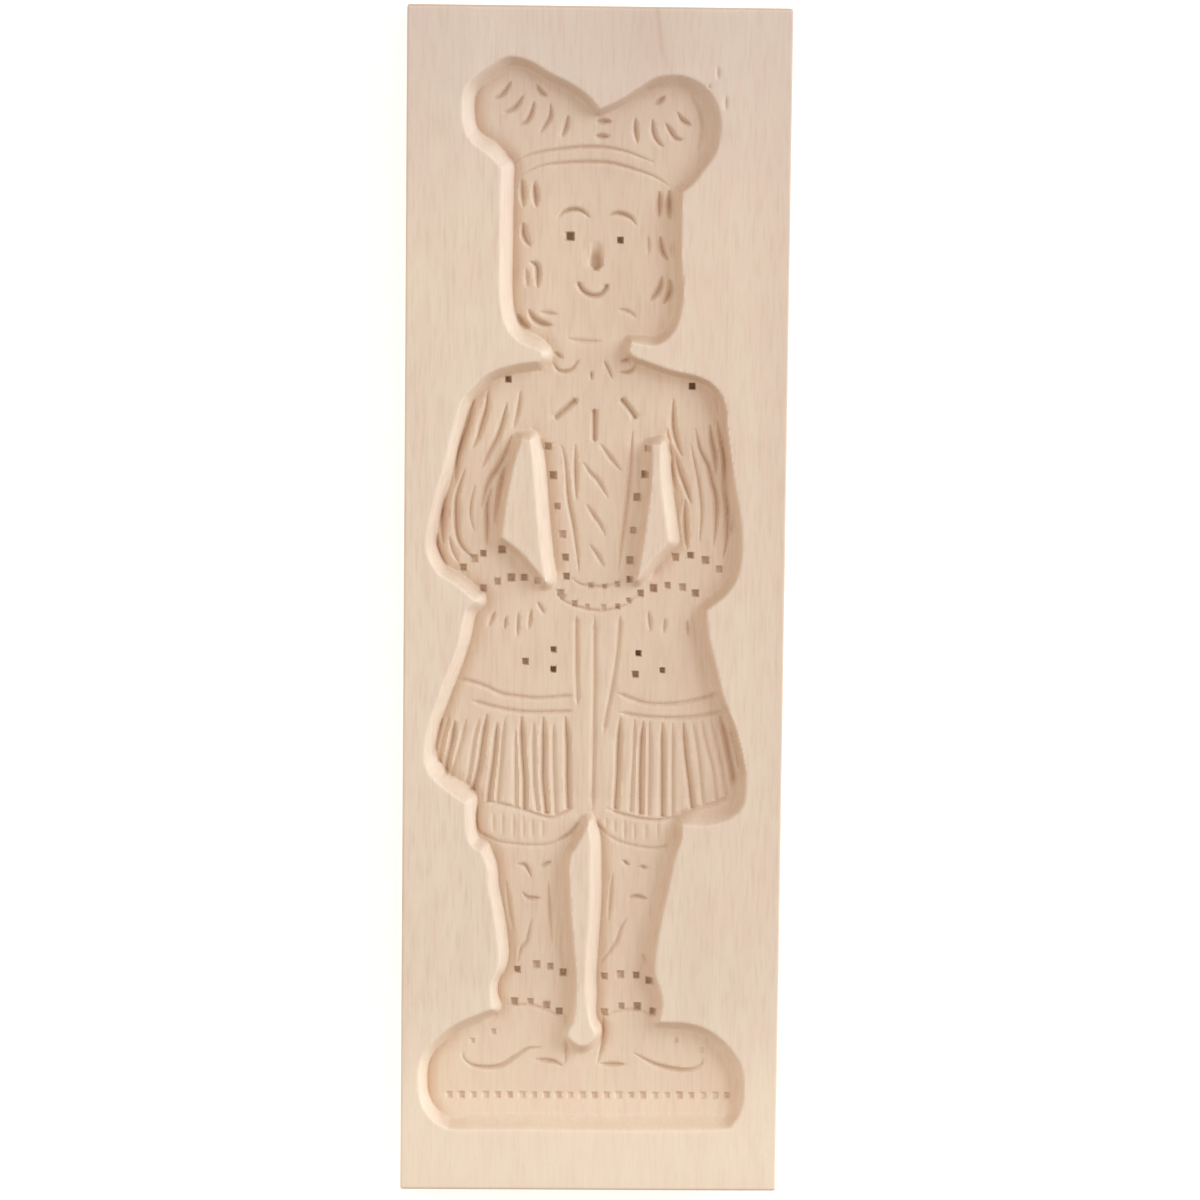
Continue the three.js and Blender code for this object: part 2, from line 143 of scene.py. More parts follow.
# How much farther down a wall the painted shade on carved wood starts: picture y, and share of the way down.
SHADE_LOWER_ON_WALLS = ((100, 0.3), (140, 0), (780, 0), (860, 0.2), (980, 0.2), (1020, 0.6), (1105, 0.6), (1125, -0.3))

# Lines: their steps, the steps between two of their points, and the least cosine of a turn drawn as a curve.
LINE_STEP = 0.9 * MM
SPAN_STEPS = 10
LEAST_COSINE = 0.85

# Edges: how many steps are searched as one piece, and over how many the walls change width.
EDGE_PIECE = 24
EASING = 9

# How far from an edge, a stroke and a dot the relief is worked out, and how narrow a wall or a cut may be.
EDGE_REACH = 13 * MM
MARK_REACH = 4 * MM
DOT_REACH = 2 * MM
NARROWEST_WALL = 1.4 * MM
NARROWEST_CUT = 0.1 * MM

# Strokes' ends: how many times each taper goes into the stroke, and how a flute widens and sinks along it.
SQUARE_TAPER = 5
EVEN_TAPER = 14
FLUTE_TAPER = 7
FLUTE_START = 0.7
FLUTE_WIDENING = 0.3
FLUTE_SINKING = 1.6


def pointed(along):
    """How wide and how deep a stroke is that comes to a point at both its ends."""
    share = np.sqrt(np.clip(np.sin(np.pi * along), 0, 1))
    return share, share


def square_ended(along):
    """How wide and how deep a stroke is that starts at a point and stops square."""
    share = np.sqrt(np.clip(along * SQUARE_TAPER, 0, 1)) * (along < 1)
    return share, share


def even(along):
    """How wide and how deep a line is that is the same from end to end."""
    share = np.clip(np.minimum(along, 1 - along) * EVEN_TAPER, 0, 1)
    return share, share


def flute(along):
    """How wide and how deep a cut is that sinks slowly and stops round."""
    inside = (along > 0) & (along < 1)
    wide = (FLUTE_START + FLUTE_WIDENING * along) * np.sqrt(np.clip((1 - along) * FLUTE_TAPER, 0, 1))
    return inside * wide, inside * np.clip(along * FLUTE_SINKING, 0, 1)


# Gouge strokes by what they mark: width and depth in millimetres, how strongly painted shade darkens their
# bottoms, the shape of their ends, and the points of each stroke from end to end.
STROKES = {
    "plumes": (2.4, 1.4, 0.3, pointed, (
        ((493, 98), (499, 96), (505, 90), (511, 81)), ((503, 113), (512, 109), (518, 103), (523, 95)),
        ((518, 125), (526, 121), (531, 112), (534, 101)),
        ((539, 133), (546, 123), (550, 115), (550, 103)), ((561, 137), (565, 128), (568, 115)),
        ((536, 84), (540, 91), (547, 96)), ((653, 104), (659, 101), (665, 96)),
        ((635, 118), (635, 130), (637, 143)), ((652, 119), (653, 132), (657, 141), (663, 147)),
        ((665, 123), (670, 131), (675, 138), (683, 140)), ((677, 112), (682, 120), (691, 125)),
        ((595, 121), (611, 121)), ((594, 136), (609, 136)),
    )),
    "plume rim": (2.6, 0.9, 0.2, pointed, (((690, 93), (699, 110), (702, 130), (697, 152)),)),
    "hat band": (1.8, 0.8, 0.2, pointed, (
        ((513, 164), (523, 157), (540, 152), (560, 149), (580, 147), (600, 147), (615, 149), (630, 153),
         (655, 163)),
        ((520, 175), (540, 166), (560, 163), (580, 162), (600, 162), (615, 164), (630, 168), (655, 177),
         (672, 188)),
    )),
    "hair": (3.0, 1.7, 0.5, pointed, (
        ((522, 179), (523, 207)), ((534, 182), (536, 207)), ((523, 222), (524, 236), (530, 246)),
        ((529, 261), (537, 267), (537, 288)), ((517, 314), (523, 323), (530, 328)),
        ((528, 309), (533, 318), (541, 323), (552, 325)), ((659, 191), (659, 218)),
        ((669, 190), (670, 219)), ((660, 236), (662, 249), (668, 260)), ((674, 238), (675, 262)),
        ((662, 276), (659, 289), (649, 301)), ((670, 279), (670, 292), (663, 304)),
    )),
    "faint hair": (2.0, 0.8, 0.15, pointed, (
        ((526, 268), (527, 287)), ((648, 236), (648, 254)), ((539, 312), (557, 314)),
        ((617, 309), (629, 312), (636, 318)),
    )),
    "brows": (2.1, 1.2, 0.6, pointed, (
        ((557, 218), (563, 212), (573, 209), (582, 211), (590, 218)),
        ((607, 216), (615, 213), (623, 214), (631, 218), (636, 225)),
    )),
    "mouth": (2.2, 1.3, 0.55, even, (
        ((577, 281), (582, 290), (590, 295), (598, 295), (604, 290), (608, 283)),
    )),
    "chin": (2.0, 0.7, 0.1, pointed, (((566, 338), (582, 341), (602, 341)),)),
    "nose": (5.4, 2.1, 0.65, flute, (((595.5, 240), (595.5, 269)),)),
    "nose flank": (4.6, 0.35, 0, pointed, (((588, 246), (587, 268)),)),
    "collar": (1.8, 1.0, 0.3, pointed, (
        ((554, 352), (563, 358)), ((552, 361), (558, 370), (567, 371), (573, 367), (579, 359)),
        ((603, 360), (607, 367), (612, 379)), ((620, 361), (633, 358)),
        ((637, 363), (630, 371), (618, 372)), ((591, 371), (591, 380)),
    )),
    "tie": (2.7, 1.5, 0.5, even, (
        ((553, 419), (562, 411), (570, 404), (577, 399)),
        ((620, 398), (627, 406), (632, 413), (636, 419)), ((594, 408), (594, 442)),
    )),
    "coat front": (2.3, 1.2, 0.2, pointed, (
        ((561, 444), (565, 462), (568, 498), (573, 525), (576, 547), (579, 572)),
        ((575, 444), (575, 470), (576, 500)),
        ((632, 429), (630, 470), (627, 500), (624, 522), (621, 547), (618, 572)),
    )),
    "shirt": (2.2, 1.0, 0.2, pointed, (
        ((583, 462), (590, 473), (597, 480), (608, 498)), ((600, 444), (611, 459), (621, 471)),
        ((586, 504), (593, 515), (600, 525), (605, 536)), ((589, 544), (597, 555), (604, 568)),
    )),
    "belt": (1.6, 0.7, 0.2, pointed, (
        ((570, 577), (580, 584), (593, 586), (606, 586), (620, 581)),
        ((554, 588), (564, 601), (587, 609), (606, 610), (626, 604), (637, 594)),
    )),
    "sleeve folds": (2.8, 1.7, 0.35, pointed, (
        ((474, 398), (470, 414), (466, 428), (461, 442), (457, 458), (455, 482)),
        ((449, 479), (444, 493), (442, 510), (442, 528), (443, 543)),
        ((465, 468), (459, 486), (456, 500), (456, 524), (458, 538), (464, 549), (474, 558)),
        ((488, 390), (486, 408), (482, 422), (478, 436), (472, 448)),
        ((507, 402), (503, 418), (498, 434), (489, 452), (481, 468)),
        ((512, 434), (506, 451), (498, 467), (489, 480), (484, 494), (481, 508)),
        ((513, 452), (505, 470), (501, 488), (498, 506), (495, 526)),
        ((491, 488), (487, 505), (487, 525), (487, 544)),
        ((673, 398), (673, 424), (676, 440), (682, 457)),
        ((676, 456), (680, 472), (685, 486), (691, 504)), ((685, 499), (685, 520), (687, 550)),
        ((695, 428), (700, 450), (708, 466), (712, 482), (716, 498), (716, 520), (713, 547)),
        ((710, 424), (712, 440), (715, 455), (716, 474)),
        ((717, 418), (721, 440), (725, 462), (726, 490), (728, 512), (727, 540), (723, 558)),
        ((733, 500), (733, 518), (730, 536)),
    )),
    "fine sleeve lines": (2.1, 1.0, 0.25, pointed, (
        ((435, 516), (435, 534), (439, 550), (447, 567)), ((449, 536), (452, 549), (458, 562)),
        ((475, 484), (471, 500), (470, 515), (474, 532)), ((520, 390), (518, 408), (513, 428)),
        ((667, 428), (669, 450), (672, 470), (677, 494)),
        ((690, 443), (695, 466), (699, 488), (701, 512), (699, 543)),
    )),
    "hands": (2.0, 1.0, 0.2, pointed, (
        ((495, 611), (488, 626)), ((506, 616), (504, 629)), ((518, 611), (517, 636)),
        ((531, 609), (528, 629)), ((537, 602), (544, 613)), ((648, 611), (650, 631)),
        ((665, 618), (663, 633)), ((687, 620), (688, 636)),
    )),
    "coat": (1.9, 0.7, 0.15, even, (
        ((455, 678), (470, 681), (485, 686), (500, 693), (517, 696), (540, 698), (575, 695)),
        ((615, 692), (630, 698), (645, 703), (665, 704), (690, 701), (722, 692)),
        ((470, 700), (500, 708), (530, 712), (574, 711)),
        ((617, 712), (650, 717), (690, 717), (725, 710)),
    )),
    "centre panel": (2.2, 0.8, 0.15, even, (
        ((576, 614), (576, 660), (577, 705)), ((594, 613), (594, 680), (593, 750), (592, 812)),
        ((620, 613), (617, 650), (612, 685), (606, 715), (603, 735)),
    )),
    # The pleats' cuts run from the coat's band down to its hem.
    "deep pleats": (2.9, 1.6, 0.35, square_ended, (
        ((455, 720), (452, 740), (448, 758), (446, 774)),
        ((487, 713), (483, 736), (480, 758), (477, 774), (473, 790)),
        ((497, 722), (495, 742), (493, 762), (490, 784), (488, 802)),
        ((521, 716), (522, 750), (524, 780), (524, 809)),
        ((543, 716), (543, 750), (543, 780), (546, 813)),
        ((565, 716), (567, 745), (567, 775), (568, 809)),
        ((620, 716), (618, 745), (617, 775), (615, 809)),
        ((643, 720), (641, 745), (640, 775), (640, 814)), ((662, 722), (662, 770), (662, 817)),
        ((683, 722), (685, 750), (688, 775), (692, 808)),
        ((720, 714), (726, 738), (730, 758), (734, 780), (734, 796)),
    )),
    "light pleats": (2.3, 0.8, 0.15, square_ended, (
        ((442, 718), (437, 736), (433, 754)), ((449, 716), (443, 738), (439, 762)),
        ((466, 718), (461, 740), (456, 758), (451, 776)),
        ((479, 718), (474, 738), (471, 758), (467, 784)),
        ((505, 716), (502, 740), (500, 765), (497, 803)), ((515, 730), (515, 770), (515, 808)),
        ((533, 722), (533, 755), (534, 785), (537, 811)),
        ((553, 722), (553, 755), (554, 785), (555, 815)), ((634, 718), (633, 755), (630, 811)),
        ((649, 718), (649, 765), (648, 815)), ((672, 721), (672, 765), (672, 815)),
        ((692, 720), (697, 750), (700, 778), (703, 807)),
        ((701, 718), (706, 745), (712, 768), (716, 800)),
        ((711, 720), (717, 745), (721, 765), (727, 797)),
        ((731, 722), (736, 742), (741, 764), (744, 778)),
    )),
    "hem": (1.6, 0.7, 0.2, even, (
        ((485, 800), (515, 807), (540, 815), (552, 817), (574, 807)),
        ((604, 807), (622, 814), (645, 819), (665, 819), (692, 809), (715, 803), (735, 793)),
    )),
    "breeches": (1.6, 0.5, 0.1, even, (
        ((485, 835), (497, 841), (517, 844), (540, 845), (558, 842)),
        ((605, 833), (618, 841), (636, 846), (655, 848), (670, 845)),
    )),
    "breeches cuts": (1.9, 0.9, 0.35, pointed, (
        ((477, 804), (477, 826), (484, 835), (496, 841)), ((554, 842), (570, 833), (582, 818)),
        ((592, 813), (598, 825), (607, 834)), ((678, 815), (678, 835)),
    )),
    "breeches ribs": (1.8, 0.4, 0, pointed, (
        ((493, 812), (493, 832)), ((502, 812), (502, 836)), ((513, 814), (513, 838)),
        ((523, 816), (523, 838)), ((532, 818), (532, 838)), ((542, 819), (542, 838)),
        ((606, 817), (606, 828)), ((614, 819), (614, 833)), ((624, 820), (624, 838)),
        ((634, 822), (634, 840)), ((645, 822), (645, 841)), ((657, 822), (657, 841)),
    )),
    "boots": (1.9, 1.0, 0.3, pointed, (
        ((516, 864), (525, 865), (531, 877)), ((540, 867), (551, 861)),
        ((522, 891), (527, 897), (541, 898)), ((622, 860), (629, 865)), ((639, 866), (647, 868)),
        ((628, 898), (636, 896), (648, 899)),
    )),
    "boot wrinkles": (2.0, 0.9, 0.2, pointed, (
        ((531, 918), (526, 940), (520, 949), (517, 963)),
        ((627, 917), (620, 929), (616, 941), (609, 951), (600, 964)), ((642, 953), (649, 970)),
        ((506, 880), (509, 905), (513, 930)), ((548, 880), (550, 915), (552, 945)),
        ((612, 872), (610, 900), (608, 922)),
    )),
    "ankles": (1.6, 0.6, 0.1, pointed, (
        ((506, 1005), (530, 1005), (546, 1010), (563, 1018)),
        ((604, 1017), (618, 1011), (638, 1010), (655, 1017)),
    )),
    "soles": (2.0, 1.1, 0.25, pointed, (
        ((462, 1052), (465, 1060), (476, 1066), (498, 1066), (514, 1057), (528, 1048), (543, 1047)),
        ((632, 1052), (641, 1057), (655, 1064), (675, 1069), (692, 1069), (701, 1064), (703, 1056)),
        ((534, 1059), (553, 1061), (562, 1066)), ((599, 1064), (625, 1064)),
        ((565, 1014), (566, 1040), (565, 1063)), ((603, 1012), (603, 1038), (597, 1063)),
    )),
}

# Three small nicks in the face beside the right plume, darkened by painted shade like the strokes.
NICKS = (1.8, 0.5, 0.5, pointed, (
    ((718, 66), (718, 80)), ((709, 84), (709, 89)), ((726, 95), (726, 111)),
))

# Punched dots by where they are: width and depth in millimetres, and places. The ground's are evenly spaced.
BEAD_ROW = ((449, 1094), (727, 1095))
BEAD_COUNT = 24
DOTS = {
    "left eye": (3.0, 2.3, ((570, 236),)),
    "right eye": (2.3, 2.2, ((620, 240),)),
    "deep": (2.2, 2.2, (
        (508, 379), (692, 386), (553, 649), (525, 661), (553, 669), (638, 653), (635, 674), (662, 670),
    )),
    "rows": (2.5, 1.4, (
        (548, 446), (553, 475), (557, 506), (562, 534), (565, 557), (566, 576), (560, 593), (648, 448),
        (645, 474), (637, 497), (633, 530), (630, 560), (630, 579), (463, 567), (474, 558), (483, 553),
        (502, 549), (483, 588), (497, 581), (511, 577), (524, 577), (538, 580), (675, 557), (690, 555),
        (705, 560), (719, 569), (640, 593), (653, 588), (667, 585), (682, 587), (695, 593), (517, 969),
        (536, 964), (550, 966), (563, 972), (514, 1001), (530, 1001), (546, 1005), (559, 1011),
        (604, 976), (620, 974), (636, 975), (649, 980), (604, 1012), (621, 1006), (637, 1006),
        (653, 1011),
    )),
    "belt": (1.9, 0.9, (
        (562, 597), (574, 603), (587, 606), (603, 607), (617, 606), (628, 600), (590, 585), (604, 586),
        (617, 584),
    )),
    "shoes": (1.8, 0.6, ((472, 1040), (493, 1031), (676, 1040), (701, 1050))),
    "ground": (2.3, 0.7, np.linspace(*BEAD_ROW, BEAD_COUNT)),
}

# How steeply flutes and dots are cut, and between which shares of its depth a stroke's painted shade comes
# in.
FLUTE_STEEPNESS = 1.6
DOT_STEEPNESS = 2.2
STROKE_SHADE = (0.25, 1)

# Dots: the depth at which the crush and painted shade at a dot's bottom are full, how they ease off, and the
# rim in shares of half a dot's width.
DEEPEST_DOT = 2.4 * MM
CRUSH_AND_SHADE_CURVE = 1.6
DOT_RIM = (0.7, 1.3)

# How the dots of a row differ: by which share, and how many radians from one to the next.
DOT_WIDTH_PLAY = (0.1, 2.4)
DOT_DEPTH_PLAY = (0.2, 1.7)

# Between which shares of the way down a wall strokes, dots and the gutter's painted shade come in.
STROKES_COME_IN = (0.4, 0.9)
DOTS_COME_IN = (0.05, 0.25)
SHADE_COMES_IN = (0.8, 1)

# The gutter: how dark its painted shade is, between which leans of its wall it comes in, and the curve of
# its side.
GUTTER_SHADE = 0.2
GUTTER_LEANS = (0.2, 1)
GUTTER_CURVE = 1.2

# Painted shade on carved wood: where it starts on the way down a wall, how much farther down on a wall that
# faces right toward the light, the farthest, how long it takes to come in, how much of it islands have, and
# from what share of an unshaded edge's width it comes back there.
SHADE_START = 0.3
SHADE_LEAN = 0.5
SHADE_LATEST = 0.8
SHADE_LENGTH = 0.2
ISLAND_SHADE = 0.5
UNSHADED_CORE = 0.7

# How far up a level face's normal points at least, and a smooth one's, and the angle of a sharp edge.
LEVEL = 0.9
SMOOTH_SLOPE = 0.12
SHARP_ANGLE = math.radians(40)

# The mesh: steps of its rounded corners and edges, rows at its ends, how near the face a vertex is that lies
# on it, and how near a line one is that is moved onto it.
CORNER_STEPS = 5
EASING_STEPS = 4
END_ROWS = 4
FACE_SLACK = 0.001 * MM
LINE_UP_REACH = 0.19 * MM
MOST_TRIANGLES = 200000

# How near the hollow, the top or foot of a wall, or a cut a cell is when it is halved.
CLOSE_TO_HOLLOW = 2.6 * MM
CLOSE_TO_WALL = 1.5 * MM
CLOSE_TO_CUT = 1.1 * MM
CLOSEST_TO_WALL = 0.6 * MM
CLOSEST_TO_CUT = 0.2 * MM

# The gouge's unevenness: waves per metre across and along, and the depth from which it is full.
WAVES = (330, 130)
FINE_WAVES = (900, 420)
FINE_SHARE = 0.5
FULL_WAVES = 2 * MM

# How much of the end grain shows away from the plank's two ends.
SLANTING_END_GRAIN = 0.6

# Patterns of the beech and the paper: patches per metre along x, y and z, detail, and its roughness.
TONE = ((28, 3.2, 28), 3)
STREAKS = ((240, 12, 240), 4, 0.62)
BLUSH = ((190, 55, 190), 2)
FIBRES = ((1100, 90, 1100), 3)
FLECK_PATCHES = ((150, 50, 150), 2)
PORES = ((2600, 300, 2600), 2)
FLECKS = (1300, 300, 1300)
PAPER = ((900, 900, 900), 2)

# Between which places along the plank the wood changes towards the shoes and the hat, how far that wanders,
# and how much warmer the wood turns per metre to the right and to the hat.
SHOE_END = (-0.11, -0.17)
SHOE_END_WANDERS = 0.03
HAT_END = (0.1, 0.19)
HAT_END_WANDERS = 0.05
WARMER_SIDE = (1.5, 1.2)

# The vein: between which places along the plank it starts, its x where it would reach y = 0, its lean, and
# the widths of its core and its shade.
VEIN_END = (0.164, 0.176)
VEIN_X = 43.7 * MM
VEIN_LEAN = 0.14
VEIN_CORE = 1.6 * MM
VEIN_SHADE = 25 * MM

# The stage: half the floor's width, its gap under the mould, and the key light's distance and size.
FLOOR_HALF = 3
FLOOR_GAP = 0.2 * MM
KEY_DISTANCE = 1.8
KEY_SIZE = 1.5
SENSOR_WIDTH = 36


def number(name, description, default, **limits):
    """A number for the panel."""
    return bpy.props.FloatProperty(name=name, description=description, default=default, **limits)


def length(name, description, default):
    """A size for the panel."""
    return number(name, description, default, unit="LENGTH")


def colour(name, description, default):
    """A colour for the panel."""
    return bpy.props.FloatVectorProperty(
        name=name, description=description, default=default, size=3, subtype="COLOR", min=0, max=1)


class MOULD_PG_carving(bpy.types.PropertyGroup):
    """Sizes of the carving that a maker would change."""

    cove: number("Wall Cove", "How hollow the walls are: 1 is straight, 2 a smooth cove", 1.6, min=1, max=3)
    cove_lean: number(
        "Cove Lean", "How much straighter left walls are, and more hollow right ones", 0.6, min=0, max=0.9)
    cove_widening: number(
        "Cove Widening", "How much wider than its shadow a right wall is, as a share", 0.12, min=0, max=1)
    wide_wall: length("Wide Wall", "The width past which a wall becomes more hollow", 5 * MM)
    brow: length("Wall Brow", "How far the face takes to turn down into a wall", 0.9 * MM)
    # Along the islands' left edges the islands' painted shade is left out, so that band stays paler.
    unshaded_edge: length("Worn Edge", "Width of the paler wood along the islands' left edges", 3.6 * MM)
    gutter_depth: length("Gutter Depth", "How far the foot of a left wall lies below the floor", 1.2 * MM)
    gutter_width: length("Gutter Width", "How far the gutter takes to rise to the floor", 2.8 * MM)
    crown: length("Crown", "How much a floor swells towards the middle of its form", 0.5 * MM)
    crown_reach: length("Crown Reach", "How far from a wall's foot a floor takes to swell", 5 * MM)
    tool_waves: length("Tool Waves", "Height of the unevenness that the gouge leaves", 0.07 * MM)
    corner_radius: length("Corner Radius", "Rounding of the plank's corners, seen from above", 1 * MM)
    edge_easing: length("Edge Easing", "Rounding of the plank's long and short edges", 0.6 * MM)
    end_rounding: length("End Rounding", "How far the face is rounded down towards the two ends", 1.5 * MM)
    widest_cell: length("Widest Cell", "Spacing of the mesh away from the carving", 3.1 * MM)


class MOULD_PG_beech(bpy.types.PropertyGroup):
    """Colours of the beech, and of the painted shade in its carving."""

    pale: colour("Pale Wood", "The lighter colour of the wood along the grain", (0.844, 0.672, 0.522))
    warm: colour("Warm Wood", "The pinker colour between the pale streaks", (0.765, 0.585, 0.455))
    shoe_end: colour("Shoe End", "The lighter and yellower colour by the shoes", (0.96, 0.775, 0.595))
    blush: colour("Blush", "What multiplies the colour in soft pinker patches", (0.995, 0.96, 0.975))
    hat_end: colour("Hat End", "What multiplies the colour at the greyer hat end", (0.93, 0.945, 1))
    # Painted shade: this colour multiplies the carved wood down the walls, on the floors and on the islands.
    carved: colour("Carved Wood", "What multiplies the colour of carved wood", (0.965, 0.925, 0.885))
    fleck: colour("Fleck", "The short brown flecks of beech", (0.50, 0.33, 0.21))
    end_grain: colour("End Grain", "The darker colour of wood cut across the grain", (0.55, 0.38, 0.26))
    # Partly the punch's crush of the wood, partly painted shade that deepens with the dot.
    crushed_and_shaded: colour("Crushed Wood", "The brown at the bottom of a punched dot", (0.34, 0.21, 0.125))


class MOULD_PG_stage(bpy.types.PropertyGroup):
    """Floor and lights round the mould."""

    floor_colour: colour("Floor Colour", "Colour of the plain floor", (0.92, 0.92, 0.92))
    floor_glow: number("Floor Glow", "How brightly the floor is lit from below", 0.42, min=0)
    key_power: number("Key Power", "Strength of the low light from the right", 31, subtype="POWER")
    key_height: number(
        "Key Height", "How high the key light stands above the horizon", math.radians(20), subtype="ANGLE")
    key_side: number(
        "Key Side", "The key light's turn from the right to the hat", math.radians(30), subtype="ANGLE")
    key_colour: colour("Key Colour", "Colour of the low light from the right", (0.7, 0.86, 1))
    sky_colour: colour("Sky Colour", "Colour of the even light from all round", (1, 0.965, 0.905))
    sky_strength: number("Sky Strength", "Strength of the even light from all round", 0.77, min=0)


def on_board(points):
    """Picture points as places on the plank's face, with the picture's slight tilt and turn taken out."""
    x, y = np.asarray(points, dtype=float).T
    left, right = (
        top[0] + (bottom[0] - top[0]) * (y - top[1]) / (bottom[1] - top[1])
        for top, bottom in ((TOP_LEFT, BOTTOM_LEFT), (TOP_RIGHT, BOTTOM_RIGHT))
    )
    across = (x - left) / (right - left)
    top = TOP_LEFT[1] + (TOP_RIGHT[1] - TOP_LEFT[1]) * across
    bottom = BOTTOM_LEFT[1] + (BOTTOM_RIGHT[1] - BOTTOM_LEFT[1]) * across
    seen = (y - top) / (bottom - top)
    ratio = (TOP_RIGHT[0] - TOP_LEFT[0]) / (BOTTOM_RIGHT[0] - BOTTOM_LEFT[0])
    along = seen / (ratio - seen * (ratio - 1))
    size = BOARD_HIGH - BOARD_LOW
    return np.stack([BOARD_LOW.x + across * size.x, BOARD_HIGH.y - along * size.y], axis=1)


def on_floor(points):
    """Places on the plank of picture points that are seen on the hollow's floor, a little below the face."""
    under_camera = np.array(CAMERA_PLACE[:2])
    sunk = np.interp(np.asarray(points, dtype=float)[:, 1], *zip(*FLOOR_LEVELS)) * MM
    return under_camera + (on_board(points) - under_camera) * (1 + sunk / CAMERA_HEIGHT)[:, None]


def down_figure(levels):
    """Picture heights and the values there as places along the plank, from the shoes up, and the values."""
    heights, values = zip(*reversed(levels))
    return on_board([(MIDDLE_X, y) for y in heights])[:, 1], np.array(values)


def goes_on(before, corner, after):
    """Whether a line goes on past a corner without a sharp turn, so that it is drawn as one curve."""
    arriving, leaving = corner - before, after - corner
    return arriving @ leaving > LEAST_COSINE * np.linalg.norm(arriving) * np.linalg.norm(leaving)


def smooth_line(knots, before=None, after=None):
    """Even steps along a smooth line through places, which may lead on from one place and to another."""
    if before is None or not goes_on(before, knots[0], knots[1]):
        before = 2 * knots[0] - knots[1]
    if after is None or not goes_on(knots[-2], knots[-1], after):
        after = 2 * knots[-1] - knots[-2]
    path = np.vstack([before, knots, after])
    share = np.linspace(0, 1, SPAN_STEPS, endpoint=False)[:, None]
    spans = []
    for before, start, end, after in zip(path, path[1:], path[2:], path[3:]):
        bend = 2 * before - 5 * start + 4 * end - after
        twist = 3 * start - before - 3 * end + after
        spans.append(start + ((end - before) * share + bend * share ** 2 + twist * share ** 3) / 2)
    fine = np.vstack(spans + [knots[-1:]])
    lengths = np.concatenate([[0], np.cumsum(np.linalg.norm(np.diff(fine, axis=0), axis=1))])
    stops = np.linspace(0, lengths[-1], max(2, round(lengths[-1] / LINE_STEP)) + 1)
    return np.stack([np.interp(stops, lengths, fine[:, axis]) for axis in (0, 1)], axis=1)


def near_line(places, line, reach):
    """The numbers of the places within reach of a line, their distances from it, their shares of the way
    along it, and the points of it nearest to them."""
    beside = (places >= line.min(axis=0) - reach) & (places <= line.max(axis=0) + reach)
    numbers = np.flatnonzero(beside.all(axis=1))
    starts = line[:-1]
    spans = line[1:] - starts
    offset = places[numbers, None] - starts
    share = np.clip((offset * spans).sum(axis=2) / (spans ** 2).sum(axis=1), 0, 1)
    away = np.linalg.norm(offset - share[..., None] * spans, axis=2)
    nearest = away.argmin(axis=1)
    rows = np.arange(len(numbers))
    share = share[rows, nearest]
    points = starts[nearest] + share[:, None] * spans[nearest]
    return numbers, away[rows, nearest], (nearest + share) / len(starts), points


def within_loops(places, loops):
    """Whether each place is inside the outermost loop and outside the ones within it."""
    order = places[:, 1].argsort()
    heights = places[order, 1]
    within = np.zeros(len(places), dtype=bool)
    for loop in loops:
        for (x0, y0), (x1, y1) in zip(loop, loop[1:]):
            if y0 == y1:
                continue
            first, last = np.searchsorted(heights, (min(y0, y1), max(y0, y1)))
            crossed = order[first:last]
            within[crossed] ^= places[crossed, 0] < x0 + (x1 - x0) * (places[crossed, 1] - y0) / (y1 - y0)
    return within


def smooth_step(low, high, value):
    """A soft step from 0 at low to 1 at high."""
    share = np.clip((value - low) / (high - low), 0, 1)
    return share * share * (3 - 2 * share)


def uneven(turn, play):
    """What a dot's size is multiplied by, so that the dots of a row differ a little."""
    share, step = play
    return 1 + share * math.sin(step * turn)


